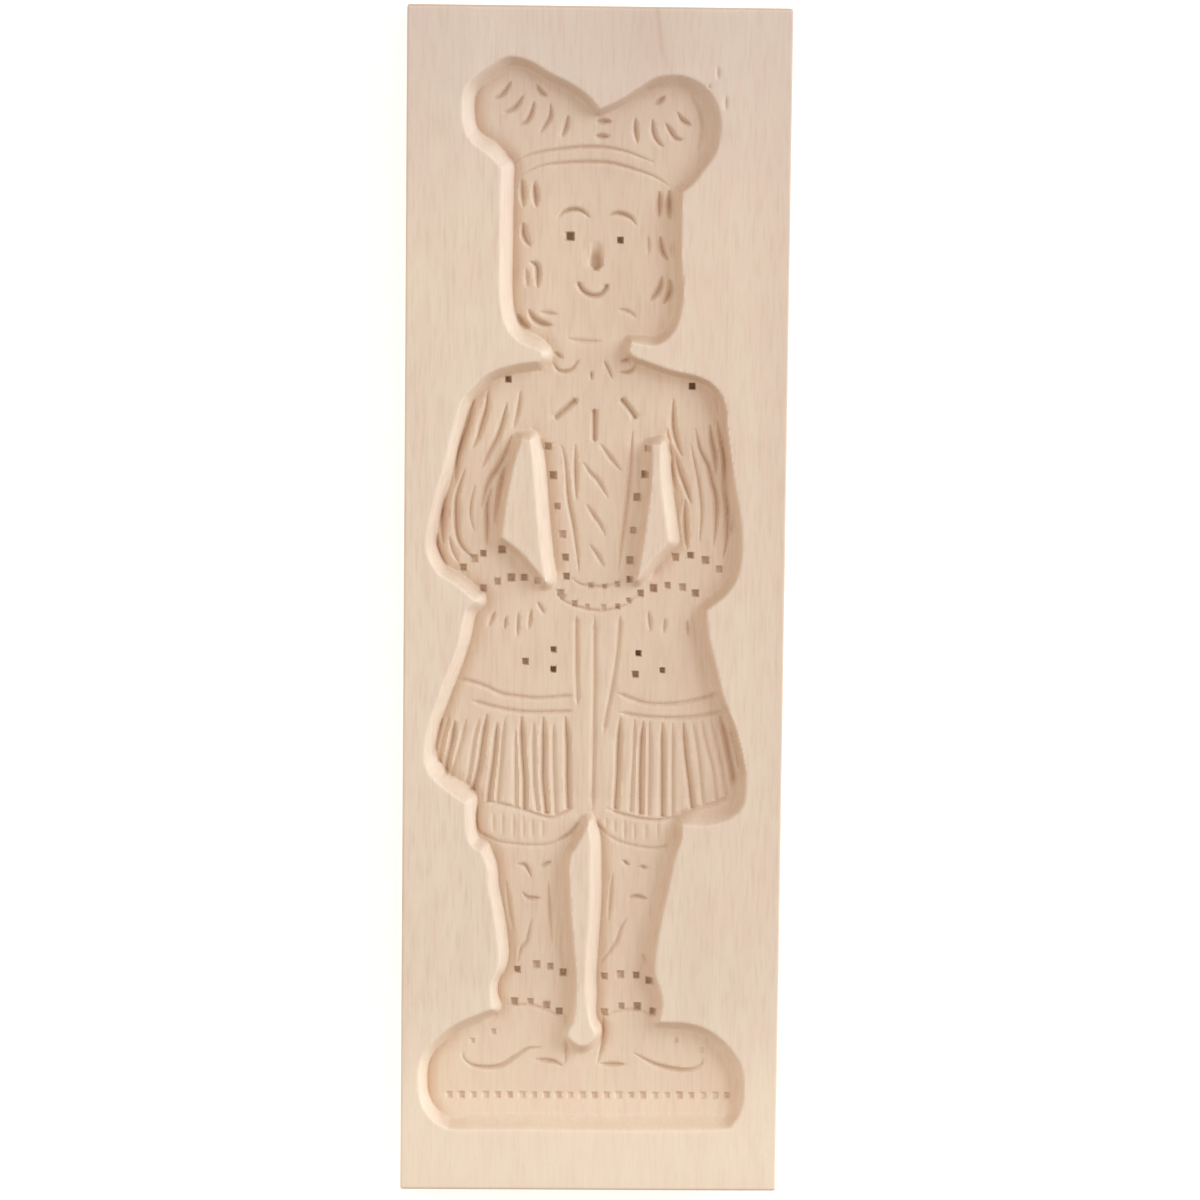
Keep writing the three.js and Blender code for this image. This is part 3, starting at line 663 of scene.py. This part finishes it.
class Relief:
    """The carving as depths below the plank's face: its edges, walls and floor, its strokes and its dots."""

    def __init__(self, carving):
        self.carving = carving
        self.level_y, level_depth = down_figure(FLOOR_LEVELS)
        self.level_depth = level_depth * MM
        self.pale_y, self.pale_share = down_figure(SHADE_LOWER_ON_WALLS)
        loops = [self.edge_loop(runs) for runs in (FIGURE_EDGE, LEFT_ARM_GAP, RIGHT_ARM_GAP, LEG_GAP)]
        self.loops = [loop for loop, widths, leans in loops]
        self.edge_pieces = []
        for loop, widths, leans in loops:
            for start in range(0, len(loop) - 1, EDGE_PIECE):
                end = start + EDGE_PIECE + 1
                self.edge_pieces.append((loop[start:end], widths[start:end], leans[start:end]))
        self.marks = self.all_strokes(STROKES.values(), on_floor)
        self.nicks = self.all_strokes([NICKS], on_board)
        self.dots = self.all_dots()

    def edge_loop(self, runs):
        """A closed edge from its runs, with the wall's width and the way that it faces all along it."""
        ends = [points[-1] for width, points in runs]
        knots = [on_board([start, *points]) for start, (width, points) in zip(ends[-1:] + ends[:-1], runs)]
        lines = [
            smooth_line(own, before[-2], after[1])
            for before, own, after in zip(knots[-1:] + knots[:-1], knots, knots[1:] + knots[:1])
        ]
        loop = np.vstack([line[:-1] for line in lines])
        widths = np.concatenate([np.full(len(line) - 1, run[0] * MM) for line, run in zip(lines, runs)])
        ahead = np.roll(loop, -2, axis=0) - np.roll(loop, 2, axis=0)
        inward = np.stack([ahead[:, 1], -ahead[:, 0]], axis=1) / np.linalg.norm(ahead, axis=1)[:, None]
        # A wall's foot is farther from the camera than its top, and so is seen nearer the point under it.
        from_camera = ((loop - CAMERA_PLACE[:2]) * inward).sum(axis=1)
        sunk = np.interp(loop[:, 1], self.level_y, self.level_depth)
        widths = np.maximum(widths + from_camera * sunk / CAMERA_HEIGHT, NARROWEST_WALL)
        return np.vstack([loop, loop[:1]]), self.eased(widths), self.eased(inward[:, 0])

    def eased(self, values):
        """Values round a closed edge, smoothed, with the first one again at the end."""
        wrapped = np.concatenate([values[-EASING:], values, values[:EASING]])
        smooth = np.convolve(wrapped, np.ones(EASING) / EASING, "same")[EASING:-EASING]
        return np.append(smooth, smooth[0])

    def all_strokes(self, groups, place):
        """Every stroke as its line, width, depth, how dark it has become and the shape of its ends."""
        return [
            (smooth_line(place(points)), width * MM, depth * MM, shade_strength, shape)
            for width, depth, shade_strength, shape, strokes in groups
            for points in strokes
        ]

    def all_dots(self):
        """Every punched dot as its place, width and depth."""
        return [
            (place, width * MM * uneven(turn, DOT_WIDTH_PLAY), depth * MM * uneven(turn, DOT_DEPTH_PLAY))
            for width, depth, dots in DOTS.values()
            for turn, place in enumerate(on_floor(dots))
        ]

    def walls(self, places):
        """How far each place lies inside the hollow's edge, the wall's width and lean, and its edge point.

        The lean is 1 for a wall that faces right, -1 for one that faces left, and 0 for one along the ends.
        """
        away = np.full(len(places), EDGE_REACH)
        width = np.full(len(places), NARROWEST_WALL)
        lean = np.zeros(len(places))
        corner = places.copy()
        for line, widths, leans in self.edge_pieces:
            numbers, distance, along, points = near_line(places, line, EDGE_REACH)
            closer = distance < away[numbers]
            chosen = numbers[closer]
            step = along[closer] * (len(line) - 1)
            away[chosen] = distance[closer]
            width[chosen] = np.interp(step, np.arange(len(line)), widths)
            lean[chosen] = np.interp(step, np.arange(len(line)), leans)
            corner[chosen] = points[closer]
        width *= 1 + self.carving.cove_widening * (1 - lean) / 2
        return np.where(within_loops(places, self.loops), away, -away), width, lean, corner

    def grooves(self, places, marks):
        """How deep strokes cut below the floor at each place, how dark their painted shade makes it, and how
        far the nearest is.
        """
        depth = np.zeros(len(places))
        dark = np.zeros(len(places))
        clear = np.full(len(places), EDGE_REACH)
        for line, width, deepest, shade_strength, shape in marks:
            numbers, distance, along, _ = near_line(places, line, MARK_REACH)
            wide, deep = shape(along)
            half = np.maximum(wide * width, NARROWEST_CUT) / 2
            steepness = FLUTE_STEEPNESS if shape is flute else 1
            share = deep * np.clip(steepness * (1 - distance / half), 0, 1)
            depth[numbers] = np.maximum(depth[numbers], deepest * share)
            dark[numbers] = np.maximum(dark[numbers], shade_strength * smooth_step(*STROKE_SHADE, share))
            clear[numbers] = np.minimum(clear[numbers], distance - half)
        return depth, dark, clear

    def pits(self, places):
        """How deep punched dots cut at each place, how much crush and painted shade darken it, and how far
        the nearest is.
        """
        depth = np.zeros(len(places))
        clear = np.full(len(places), EDGE_REACH)
        crushed_and_shaded = np.zeros(len(places))
        for centre, width, deepest in self.dots:
            offset = np.abs(places - centre)
            beside = np.flatnonzero((offset < width + DOT_REACH).all(axis=1))
            out = offset[beside].max(axis=1) / (width / 2)
            cut = deepest * np.clip(DOT_STEEPNESS * (1 - out), 0, 1)
            depth[beside] = np.maximum(depth[beside], cut)
            crushed_and_shaded[beside] = np.maximum(crushed_and_shaded[beside], (cut / DEEPEST_DOT) ** CRUSH_AND_SHADE_CURVE)
            clear[beside] = np.minimum(clear[beside], (out - 1) * width / 2)
        return depth, crushed_and_shaded, clear

    def sunk(self, places):
        """How far below the face the wood lies at each place, and how much crush and painted shade darken it
        at dots, in strokes and gutters, and on the carved wood.
        """
        carving = self.carving
        edge, width, lean, _ = self.walls(places)
        groove, dark, _ = self.grooves(places, self.marks)
        nick, nick_shade, _ = self.grooves(places, self.nicks)
        pit, crushed_and_shaded, _ = self.pits(places)
        past = np.maximum(edge - width, 0)
        floor = np.interp(places[:, 1], self.level_y, self.level_depth)
        floor = floor - carving.crown * (1 - np.exp(-past / carving.crown_reach))
        side = (1 - np.clip(past / carving.gutter_width, 0, 1)) ** GUTTER_CURVE
        gutter = smooth_step(*GUTTER_LEANS, lean) * side
        # A third of the brow lies on the face, before the edge.
        lead = carving.brow / 3
        down = np.clip((edge + lead) / (width + lead), 0, 1)
        # Painted shade in the gutter at the foot of walls that face right.
        dark = np.maximum(dark, GUTTER_SHADE * gutter * smooth_step(*SHADE_COMES_IN, down))
        brow = carving.brow / width
        turned = (1 + brow) * down ** 2 / (down + brow)
        hollow = (carving.cove - carving.cove_lean * lean) * np.maximum(1, width / carving.wide_wall)
        wall = 1 - (1 - turned) ** hollow
        floor_share = smooth_step(*STROKES_COME_IN, down)
        dot_share = smooth_step(*DOTS_COME_IN, down)
        depth = (floor + carving.gutter_depth * gutter) * wall + nick
        depth += groove * floor_share + pit * dot_share
        # Painted shade on the carved wood: from partway down each wall, lower on walls that face right, and
        # over the islands except along their left edges.
        island = within_loops(places, self.loops[:1]) & (edge < 0)
        pale = np.interp(places[:, 1], self.pale_y, self.pale_share)
        start = np.clip(SHADE_START + SHADE_LEAN * lean + pale, 0, SHADE_LATEST)
        unshaded = (lean < 0) * smooth_step(carving.unshaded_edge, UNSHADED_CORE * carving.unshaded_edge, -edge)
        carved_shade = np.maximum(smooth_step(start, start + SHADE_LENGTH, down), ISLAND_SHADE * island * (1 - unshaded))
        return depth, crushed_and_shaded * dot_share, np.maximum(dark * floor_share, nick_shade), carved_shade

    def busyness(self, places):
        """How far each place is from the nearest line where the relief turns, and from the hollow."""
        edge, width, _, _ = self.walls(places)
        _, _, to_mark = self.grooves(places, self.marks)
        _, _, to_nick = self.grooves(places, self.nicks)
        _, _, to_dot = self.pits(places)
        to_wall = np.minimum(np.abs(edge), np.abs(edge - width))
        to_cut = np.where(edge > 0, np.minimum(to_mark, to_dot), to_nick)
        return to_wall, to_cut, np.minimum(-edge, to_nick)

    def turning_points(self, places):
        """The nearest place where the relief turns sharply, and how far off it is, for each place.

        These are the hollow's edge, the foot of its walls, the bottoms of strokes and the rims of dots.
        """
        target = places.copy()
        gap = np.full(len(places), EDGE_REACH)

        def offer(numbers, points, distance):
            closer = distance < gap[numbers]
            target[numbers[closer]] = points[closer]
            gap[numbers[closer]] = distance[closer]

        every = np.arange(len(places))
        edge, width, _, corner = self.walls(places)
        inward = (places - corner) / np.where(edge == 0, 1, edge)[:, None]
        offer(every, corner, np.abs(edge))
        offer(every, corner + inward * width[:, None], np.abs(edge - width))
        for line, _, _, _, shape in self.marks:
            numbers, distance, along, points = near_line(places, line, MARK_REACH)
            inside = (edge[numbers] > width[numbers]) & (along > 0) & (along < 1) & (shape is not flute)
            offer(numbers[inside], points[inside], distance[inside])
        for centre, size, _ in self.dots:
            offset = places - centre
            out = np.abs(offset).max(axis=1) / (size / 2)
            numbers = np.flatnonzero((out > DOT_RIM[0]) & (out < DOT_RIM[1]))
            points = centre + offset[numbers] / out[numbers, None]
            offer(numbers, points, np.linalg.norm(points - places[numbers], axis=1))
        return target, gap


def edges_of(faces):
    """The edges of faces, each once."""
    return list(dict.fromkeys(edge for face in faces for edge in face.edges))


def bevel(mesh, edges, radius, segments):
    """Rounds edges of a mesh to a radius."""
    bmesh.ops.bevel(
        mesh, geom=edges, offset=radius, segments=segments, profile=0.5, affect="EDGES", material=-1)


def plain_plank(carving):
    """The plank before it is carved, with eased corners and edges."""
    mesh = bmesh.new()
    bmesh.ops.create_cube(mesh, size=1)
    bmesh.ops.scale(mesh, vec=BOARD_HIGH - BOARD_LOW, verts=mesh.verts)
    bmesh.ops.translate(mesh, vec=(BOARD_HIGH + BOARD_LOW) / 2, verts=mesh.verts)
    upright = [edge for edge in mesh.edges if edge.verts[0].co.xy == edge.verts[1].co.xy]
    bevel(mesh, upright, carving.corner_radius, CORNER_STEPS)
    mesh.normal_update()
    level = [face for face in mesh.faces if abs(face.normal.z) > LEVEL]
    bevel(mesh, edges_of(level), carving.edge_easing, EASING_STEPS)
    mesh.normal_update()
    return mesh


def cut_into_cells(mesh, carving):
    """Cuts the face and the sides of the plank into even cells, with narrow rows along each edge."""
    rows = np.linspace(carving.edge_easing, carving.end_rounding, END_ROWS)[1:]
    for axis in (0, 1):
        low = BOARD_LOW[axis] + rows[-1]
        high = BOARD_HIGH[axis] - rows[-1]
        normal = Vector((axis == 0, axis == 1, 0))
        cuts = np.linspace(low, high, math.ceil((high - low) / carving.widest_cell) + 1)
        for place in (*cuts, *(BOARD_LOW[axis] + rows[:-1]), *(BOARD_HIGH[axis] - rows[:-1])):
            kept = [face for face in mesh.faces if face.normal.z > -LEVEL]
            bmesh.ops.bisect_plane(mesh, geom=mesh.verts[:] + mesh.edges[:] + kept,
                                   plane_co=normal * place, plane_no=normal)
    mesh.normal_update()


def on_face(vertex):
    """Whether a vertex lies on the plank's flat face."""
    return vertex.co.z > FACE_Z - FACE_SLACK


def face_vertices(mesh):
    """The vertices on the plank's flat face, and their places there."""
    vertices = [vertex for vertex in mesh.verts if on_face(vertex)]
    return vertices, np.array([vertex.co.xy for vertex in vertices])


def refine(mesh, relief):
    """Halves the cells three times, each time closer to the lines where the relief turns."""
    rounds = (
        (lambda wall, cut, outside: outside < CLOSE_TO_HOLLOW),
        (lambda wall, cut, outside: (wall < CLOSE_TO_WALL) | (cut < CLOSE_TO_CUT)),
        (lambda wall, cut, outside: (wall < CLOSEST_TO_WALL) | (cut < CLOSEST_TO_CUT)),
    )
    for chosen in rounds:
        faces = [face for face in mesh.faces if all(on_face(vertex) for vertex in face.verts)]
        centres = np.array([face.calc_center_median().xy for face in faces])
        busy = chosen(*relief.busyness(centres))
        edges = edges_of(face for face, wanted in zip(faces, busy) if wanted)
        bmesh.ops.subdivide_edges(mesh, edges=edges, cuts=1, use_grid_fill=True)


def line_up(mesh, relief):
    """Moves the vertices that are close to a line where the relief turns sharply onto that line."""
    vertices, places = face_vertices(mesh)
    for vertex, target, gap in zip(vertices, *relief.turning_points(places)):
        if gap < LINE_UP_REACH:
            vertex.co.xy = target


def carve(mesh, relief, carving):
    """Sinks the face to the relief, and marks the painted shade at the dots, which goes with their crush, in
    the strokes and gutters, and on the carved wood.
    """
    layers = [mesh.verts.layers.float.new(name) for name in ("crushed_and_shaded", "painted_shade", "carved")]
    vertices, places = face_vertices(mesh)
    for vertex, sink, *shares in zip(vertices, *relief.sunk(places)):
        x, y = vertex.co.xy
        wave = noise.noise(Vector((x * WAVES[0], y * WAVES[1], 0)))
        wave += FINE_SHARE * noise.noise(Vector((x * FINE_WAVES[0], y * FINE_WAVES[1], 7)))
        for layer, share in zip(layers, shares):
            vertex[layer] = share
        vertex.co.z -= sink + carving.tool_waves * wave * min(1, sink / FULL_WAVES)


def round_ends(mesh, radius):
    """Rounds the face down towards the plank's two ends."""
    for vertex in mesh.verts:
        short = max(0, radius - (BOARD_HIGH.y - abs(vertex.co.y)))
        if vertex.co.z > FACE_Z / 2:
            vertex.co.z -= radius - math.sqrt(radius ** 2 - short ** 2)


def mark_end_grain(mesh, easing):
    """Marks how far the wood is cut across the grain at each vertex: squarely at the plank's two ends."""
    mesh.normal_update()
    layer = mesh.verts.layers.float.new("end_grain")
    end = BOARD_HIGH.y - easing
    for vertex in mesh.verts:
        squarely = 1 if abs(vertex.co.y) > end else SLANTING_END_GRAIN
        vertex[layer] = squarely * abs(vertex.normal.y)


def crease(mesh):
    """Keeps the shading sharp where faces meet at an angle, and smooth elsewhere on the face."""
    mesh.normal_update()
    for face in mesh.faces:
        face.smooth = face.normal.z > SMOOTH_SLOPE
    for edge in mesh.edges:
        edge.smooth = edge.calc_face_angle() < SHARP_ANGLE


def triangle_count(mesh):
    """How many triangles the mesh's faces make."""
    return sum(len(face.verts) - 2 for face in mesh.faces)


class Wire:
    """A shader socket that takes part in sums: an expression on it adds its Math nodes."""

    def __init__(self, finish, socket):
        self.finish = finish
        self.socket = socket

    def maths(self, operation, first, second):
        return self.finish.add("ShaderNodeMath", {"operation": operation}, {0: first, 1: second})

    def __add__(self, other):
        return self.maths("ADD", self, other)

    def __radd__(self, other):
        return self.maths("ADD", other, self)

    def __sub__(self, other):
        return self.maths("SUBTRACT", self, other)

    def __rsub__(self, other):
        return self.maths("SUBTRACT", other, self)

    def __mul__(self, other):
        return self.maths("MULTIPLY", self, other)

    def __rmul__(self, other):
        return self.maths("MULTIPLY", other, self)

    def size(self):
        """The value without its sign."""
        return self.maths("ABSOLUTE", self, 0)

    def clamp(self):
        """The value kept between 0 and 1."""
        return self.finish.add("ShaderNodeClamp", {}, {"Value": self})


class Finish:
    """A material, made node by node."""

    def __init__(self, name):
        self.material = bpy.data.materials.new(name)
        self.material.use_nodes = True
        self.tree = self.material.node_tree
        self.tree.nodes.clear()

    def add(self, kind, settings, inputs, output=0):
        """Adds a node, sets its settings and then its sockets, and gives one of its outputs."""
        node = self.tree.nodes.new(kind)
        for name, value in settings.items():
            setattr(node, name, value)
        for name, value in inputs.items():
            if isinstance(value, Wire):
                self.tree.links.new(value.socket, node.inputs[name])
            else:
                node.inputs[name].default_value = value
        return Wire(self, node.outputs[output]) if node.outputs else node

    def mix(self, factor, first, second, blend):
        """A colour between two colours."""
        first, second = (c if isinstance(c, Wire) else (*c, 1) for c in (first, second))
        settings = {"data_type": "RGBA", "blend_type": blend}
        return self.add("ShaderNodeMix", settings, {0: factor, 6: first, 7: second}, output=2)

    def stretched(self, place, scale):
        """Places scaled by different amounts along the three axes."""
        return self.add("ShaderNodeVectorMath", {"operation": "MULTIPLY"}, {0: place, 1: scale})

    def clouds(self, place, scale, detail, roughness=0.5):
        """Soft noise between 0 and 1, at a scale in patches per metre along each axis."""
        stretched = self.stretched(place, scale)
        inputs = {"Vector": stretched, "Scale": 1, "Detail": detail, "Roughness": roughness}
        return self.add("ShaderNodeTexNoise", {}, inputs)

    def step(self, value, low, high):
        """A soft step from 0 at low to 1 at high."""
        inputs = {"Value": value, "From Min": low, "From Max": high}
        return self.add("ShaderNodeMapRange", {"interpolation_type": "SMOOTHSTEP"}, inputs)

    def attribute(self, name):
        """A number that the mesh holds at each vertex."""
        return self.add("ShaderNodeAttribute", {"attribute_name": name}, {}, output="Fac")

    def shade(self, kind, inputs):
        """Adds the shader and the output that it feeds."""
        self.add("ShaderNodeOutputMaterial", {}, {"Surface": self.add(kind, {}, inputs)})
        return self.material


def beech_material(beech):
    """Oiled by hands and dough: pale beech with long streaks, short flecks and darker end grain, and painted
    shade in its carving, strokes and dots.
    """
    finish = Finish("beech")
    place = finish.add("ShaderNodeTexCoord", {}, {}, output="Object")
    tone, streak, blush, fibre, patchy, pores = (
        finish.clouds(place, *pattern) for pattern in (TONE, STREAKS, BLUSH, FIBRES, FLECK_PATCHES, PORES)
    )
    cells = {"Vector": finish.stretched(place, FLECKS), "Scale": 1}
    spot = finish.add("ShaderNodeTexVoronoi", {"feature": "F1"}, cells)
    across, along = (
        finish.add("ShaderNodeSeparateXYZ", {}, {"Vector": place}, output=axis) for axis in (0, 1)
    )
    # The wood turns warmer to the right and towards the hat.
    warmth = tone + across * WARMER_SIDE[0] + along * WARMER_SIDE[1]
    shoe_end = finish.step(along + (tone - 0.5) * SHOE_END_WANDERS, *SHOE_END)
    hat_end = finish.step(along + (tone - 0.5) * HAT_END_WANDERS, *HAT_END)
    from_vein = (across + along * VEIN_LEAN - VEIN_X).size()
    vein = finish.step(from_vein, VEIN_CORE, 0) * 0.25 + finish.step(from_vein, VEIN_SHADE, 0) * 0.1
    fleck = (1 - finish.step(spot, 0.08, 0.3)) * finish.step(patchy, 0.42, 0.62)
    end_grain = finish.step(finish.attribute("end_grain"), 0.12, 0.8)
    pore = end_grain * finish.step(pores, 0.5, 0.66)
    wood = beech.pale
    # Each layer over the one before: where it shows, how strongly, its colour and how it is laid on.
    for mask, strength, coat, blend in (
        (finish.step(warmth, 0.3, 0.9), 1, beech.warm, "MIX"),
        (shoe_end, 0.85, beech.shoe_end, "MIX"),
        (finish.step(streak, 0.35, 0.75), 0.4 - shoe_end * 0.25, beech.warm, "MIX"),
        (finish.step(blush, 0.42, 0.6), 0.8, beech.blush, "MULTIPLY"),
        (hat_end, 1, beech.hat_end, "MULTIPLY"),
        (finish.step(fibre, 0.42, 0.8), 0.24 - shoe_end * 0.13, beech.fleck, "MIX"),
        (finish.step(along, *VEIN_END), vein, beech.fleck, "MIX"),
        (fleck * (1 - end_grain), 0.1, beech.fleck, "MIX"),
        (end_grain, 0.85, beech.end_grain, "MIX"),
        (pore, 0.2, beech.fleck, "MIX"),
        # Painted shade: carved wood darkened down the walls, on the floors and on the islands.
        (finish.attribute("carved"), 1, beech.carved, "MULTIPLY"),
        # Painted shade at the bottoms of strokes, nicks and gutters, in the flecks' brown.
        (finish.attribute("painted_shade"), 1, beech.fleck, "MIX"),
        # The punch's crush and painted shade at the bottoms of the dots.
        (finish.attribute("crushed_and_shaded").clamp(), 0.9, beech.crushed_and_shaded, "MIX"),
    ):
        wood = finish.mix(mask * strength, wood, coat, blend)
    roughness = 0.56 + fibre * 0.12 + end_grain * 0.1
    grain = streak * 0.5 + fibre * 0.2 - fleck * 0.4 - pore * 0.6
    normal = finish.add("ShaderNodeBump", {}, {"Strength": 0.35, "Distance": 0.08 * MM, "Height": grain})
    inputs = {"Base Color": wood, "Roughness": roughness, "Normal": normal, "Specular IOR Level": 0.35}
    return finish.shade("ShaderNodeBsdfPrincipled", inputs)


def floor_material(stage):
    """Matt white paper on a light table."""
    finish = Finish("floor")
    place = finish.add("ShaderNodeTexCoord", {}, {}, output="Object")
    roughness = 0.85 + finish.clouds(place, *PAPER) * 0.1
    inputs = {"Base Color": (*stage.floor_colour, 1), "Roughness": roughness, "Specular IOR Level": 0.1,
              "Emission Color": (1, 1, 1, 1), "Emission Strength": stage.floor_glow}
    return finish.shade("ShaderNodeBsdfPrincipled", inputs)


def add_object(name, mesh, material):
    """Makes an object of a finished bmesh, at the origin."""
    data = bpy.data.meshes.new(name)
    mesh.to_mesh(data)
    mesh.free()
    data.materials.append(material)
    made = bpy.data.objects.new(name, data)
    bpy.context.scene.collection.objects.link(made)
    return made


def area_light(name, place, size, power, tint):
    """A square soft light that shines at the middle of the mould."""
    data = bpy.data.lights.new(name, "AREA")
    data.size = size
    data.energy = power
    data.color = tint
    made = bpy.data.objects.new(name, data)
    made.location = place
    made.rotation_euler = (-Vector(place)).to_track_quat("-Z", "Y").to_euler()
    bpy.context.scene.collection.objects.link(made)


class MOULD_OT_board(bpy.types.Operator):
    """Carve the mould: the plank with its hollowed figure"""

    bl_idname = "mould.board"
    bl_label = "Carved Board"

    def execute(self, context):
        carving = context.scene.mould_carving
        mesh = plain_plank(carving)
        cut_into_cells(mesh, carving)
        relief = Relief(carving)
        refine(mesh, relief)
        line_up(mesh, relief)
        carve(mesh, relief, carving)
        round_ends(mesh, carving.end_rounding)
        mark_end_grain(mesh, carving.edge_easing)
        crease(mesh)
        count = triangle_count(mesh)
        if count > MOST_TRIANGLES:
            raise RuntimeError(f"the board has {count} triangles, more than {MOST_TRIANGLES}")
        board = add_object("mould_board", mesh, beech_material(context.scene.mould_beech))
        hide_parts("carved_board")
        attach(board, "root")
        print("board triangles", count)
        return {"FINISHED"}


class MOULD_OT_stage(bpy.types.Operator):
    """Lay the floor and set the lights and the camera"""

    bl_idname = "mould.stage"
    bl_label = "Stage"

    def execute(self, context):
        stage = context.scene.mould_stage
        mesh = bmesh.new()
        bmesh.ops.create_grid(mesh, x_segments=1, y_segments=1, size=FLOOR_HALF)
        bmesh.ops.translate(mesh, vec=(0, 0, BOARD_LOW.z - FLOOR_GAP), verts=mesh.verts)
        add_object("floor", mesh, floor_material(stage))

        world = bpy.data.worlds.new("studio")
        world.use_nodes = True
        sky = world.node_tree.nodes["Background"]
        sky.inputs["Color"].default_value = (*stage.sky_colour, 1)
        sky.inputs["Strength"].default_value = stage.sky_strength
        context.scene.world = world

        level = math.cos(stage.key_height)
        toward_key = Vector((level * math.cos(stage.key_side), level * math.sin(stage.key_side),
                             math.sin(stage.key_height)))
        area_light("key", toward_key * KEY_DISTANCE, KEY_SIZE, stage.key_power, stage.key_colour)

        lens = bpy.data.cameras.new("camera")
        lens.lens = CAMERA_LENS
        lens.sensor_width = SENSOR_WIDTH
        camera = bpy.data.objects.new("camera", lens)
        camera.location = CAMERA_PLACE
        camera.rotation_euler = [math.radians(turn) for turn in CAMERA_TURN]
        context.scene.collection.objects.link(camera)
        context.scene.camera = camera
        context.scene.view_settings.view_transform = "Standard"
        return {"FINISHED"}


class MOULD_PT_sidebar(bpy.types.Panel):
    """The mould's sizes and colours, and the buttons that make it"""

    bl_label = "Carved Cookie Mould"
    bl_idname = "MOULD_PT_sidebar"
    bl_space_type = "VIEW_3D"
    bl_region_type = "UI"
    bl_category = "Mould"

    def draw(self, context):
        for group_name in GROUPS:
            group = getattr(context.scene, group_name)
            for name in group.__annotations__:
                self.layout.prop(group, name)
        for operator in (MOULD_OT_board, MOULD_OT_stage):
            self.layout.operator(operator.bl_idname)


GROUPS = {"mould_carving": MOULD_PG_carving, "mould_beech": MOULD_PG_beech, "mould_stage": MOULD_PG_stage}
CLASSES = (*GROUPS.values(), MOULD_OT_board, MOULD_OT_stage, MOULD_PT_sidebar)


def register():
    for made in CLASSES:
        bpy.utils.register_class(made)
    for name, group in GROUPS.items():
        setattr(bpy.types.Scene, name, bpy.props.PointerProperty(type=group))


def unregister():
    for name in GROUPS:
        delattr(bpy.types.Scene, name)
    for made in reversed(CLASSES):
        bpy.utils.unregister_class(made)


def main():
    """Makes the mould and its stage."""
    register()
    bpy.ops.mould.board()
    bpy.ops.mould.stage()


if __name__ == "__main__":
    main()
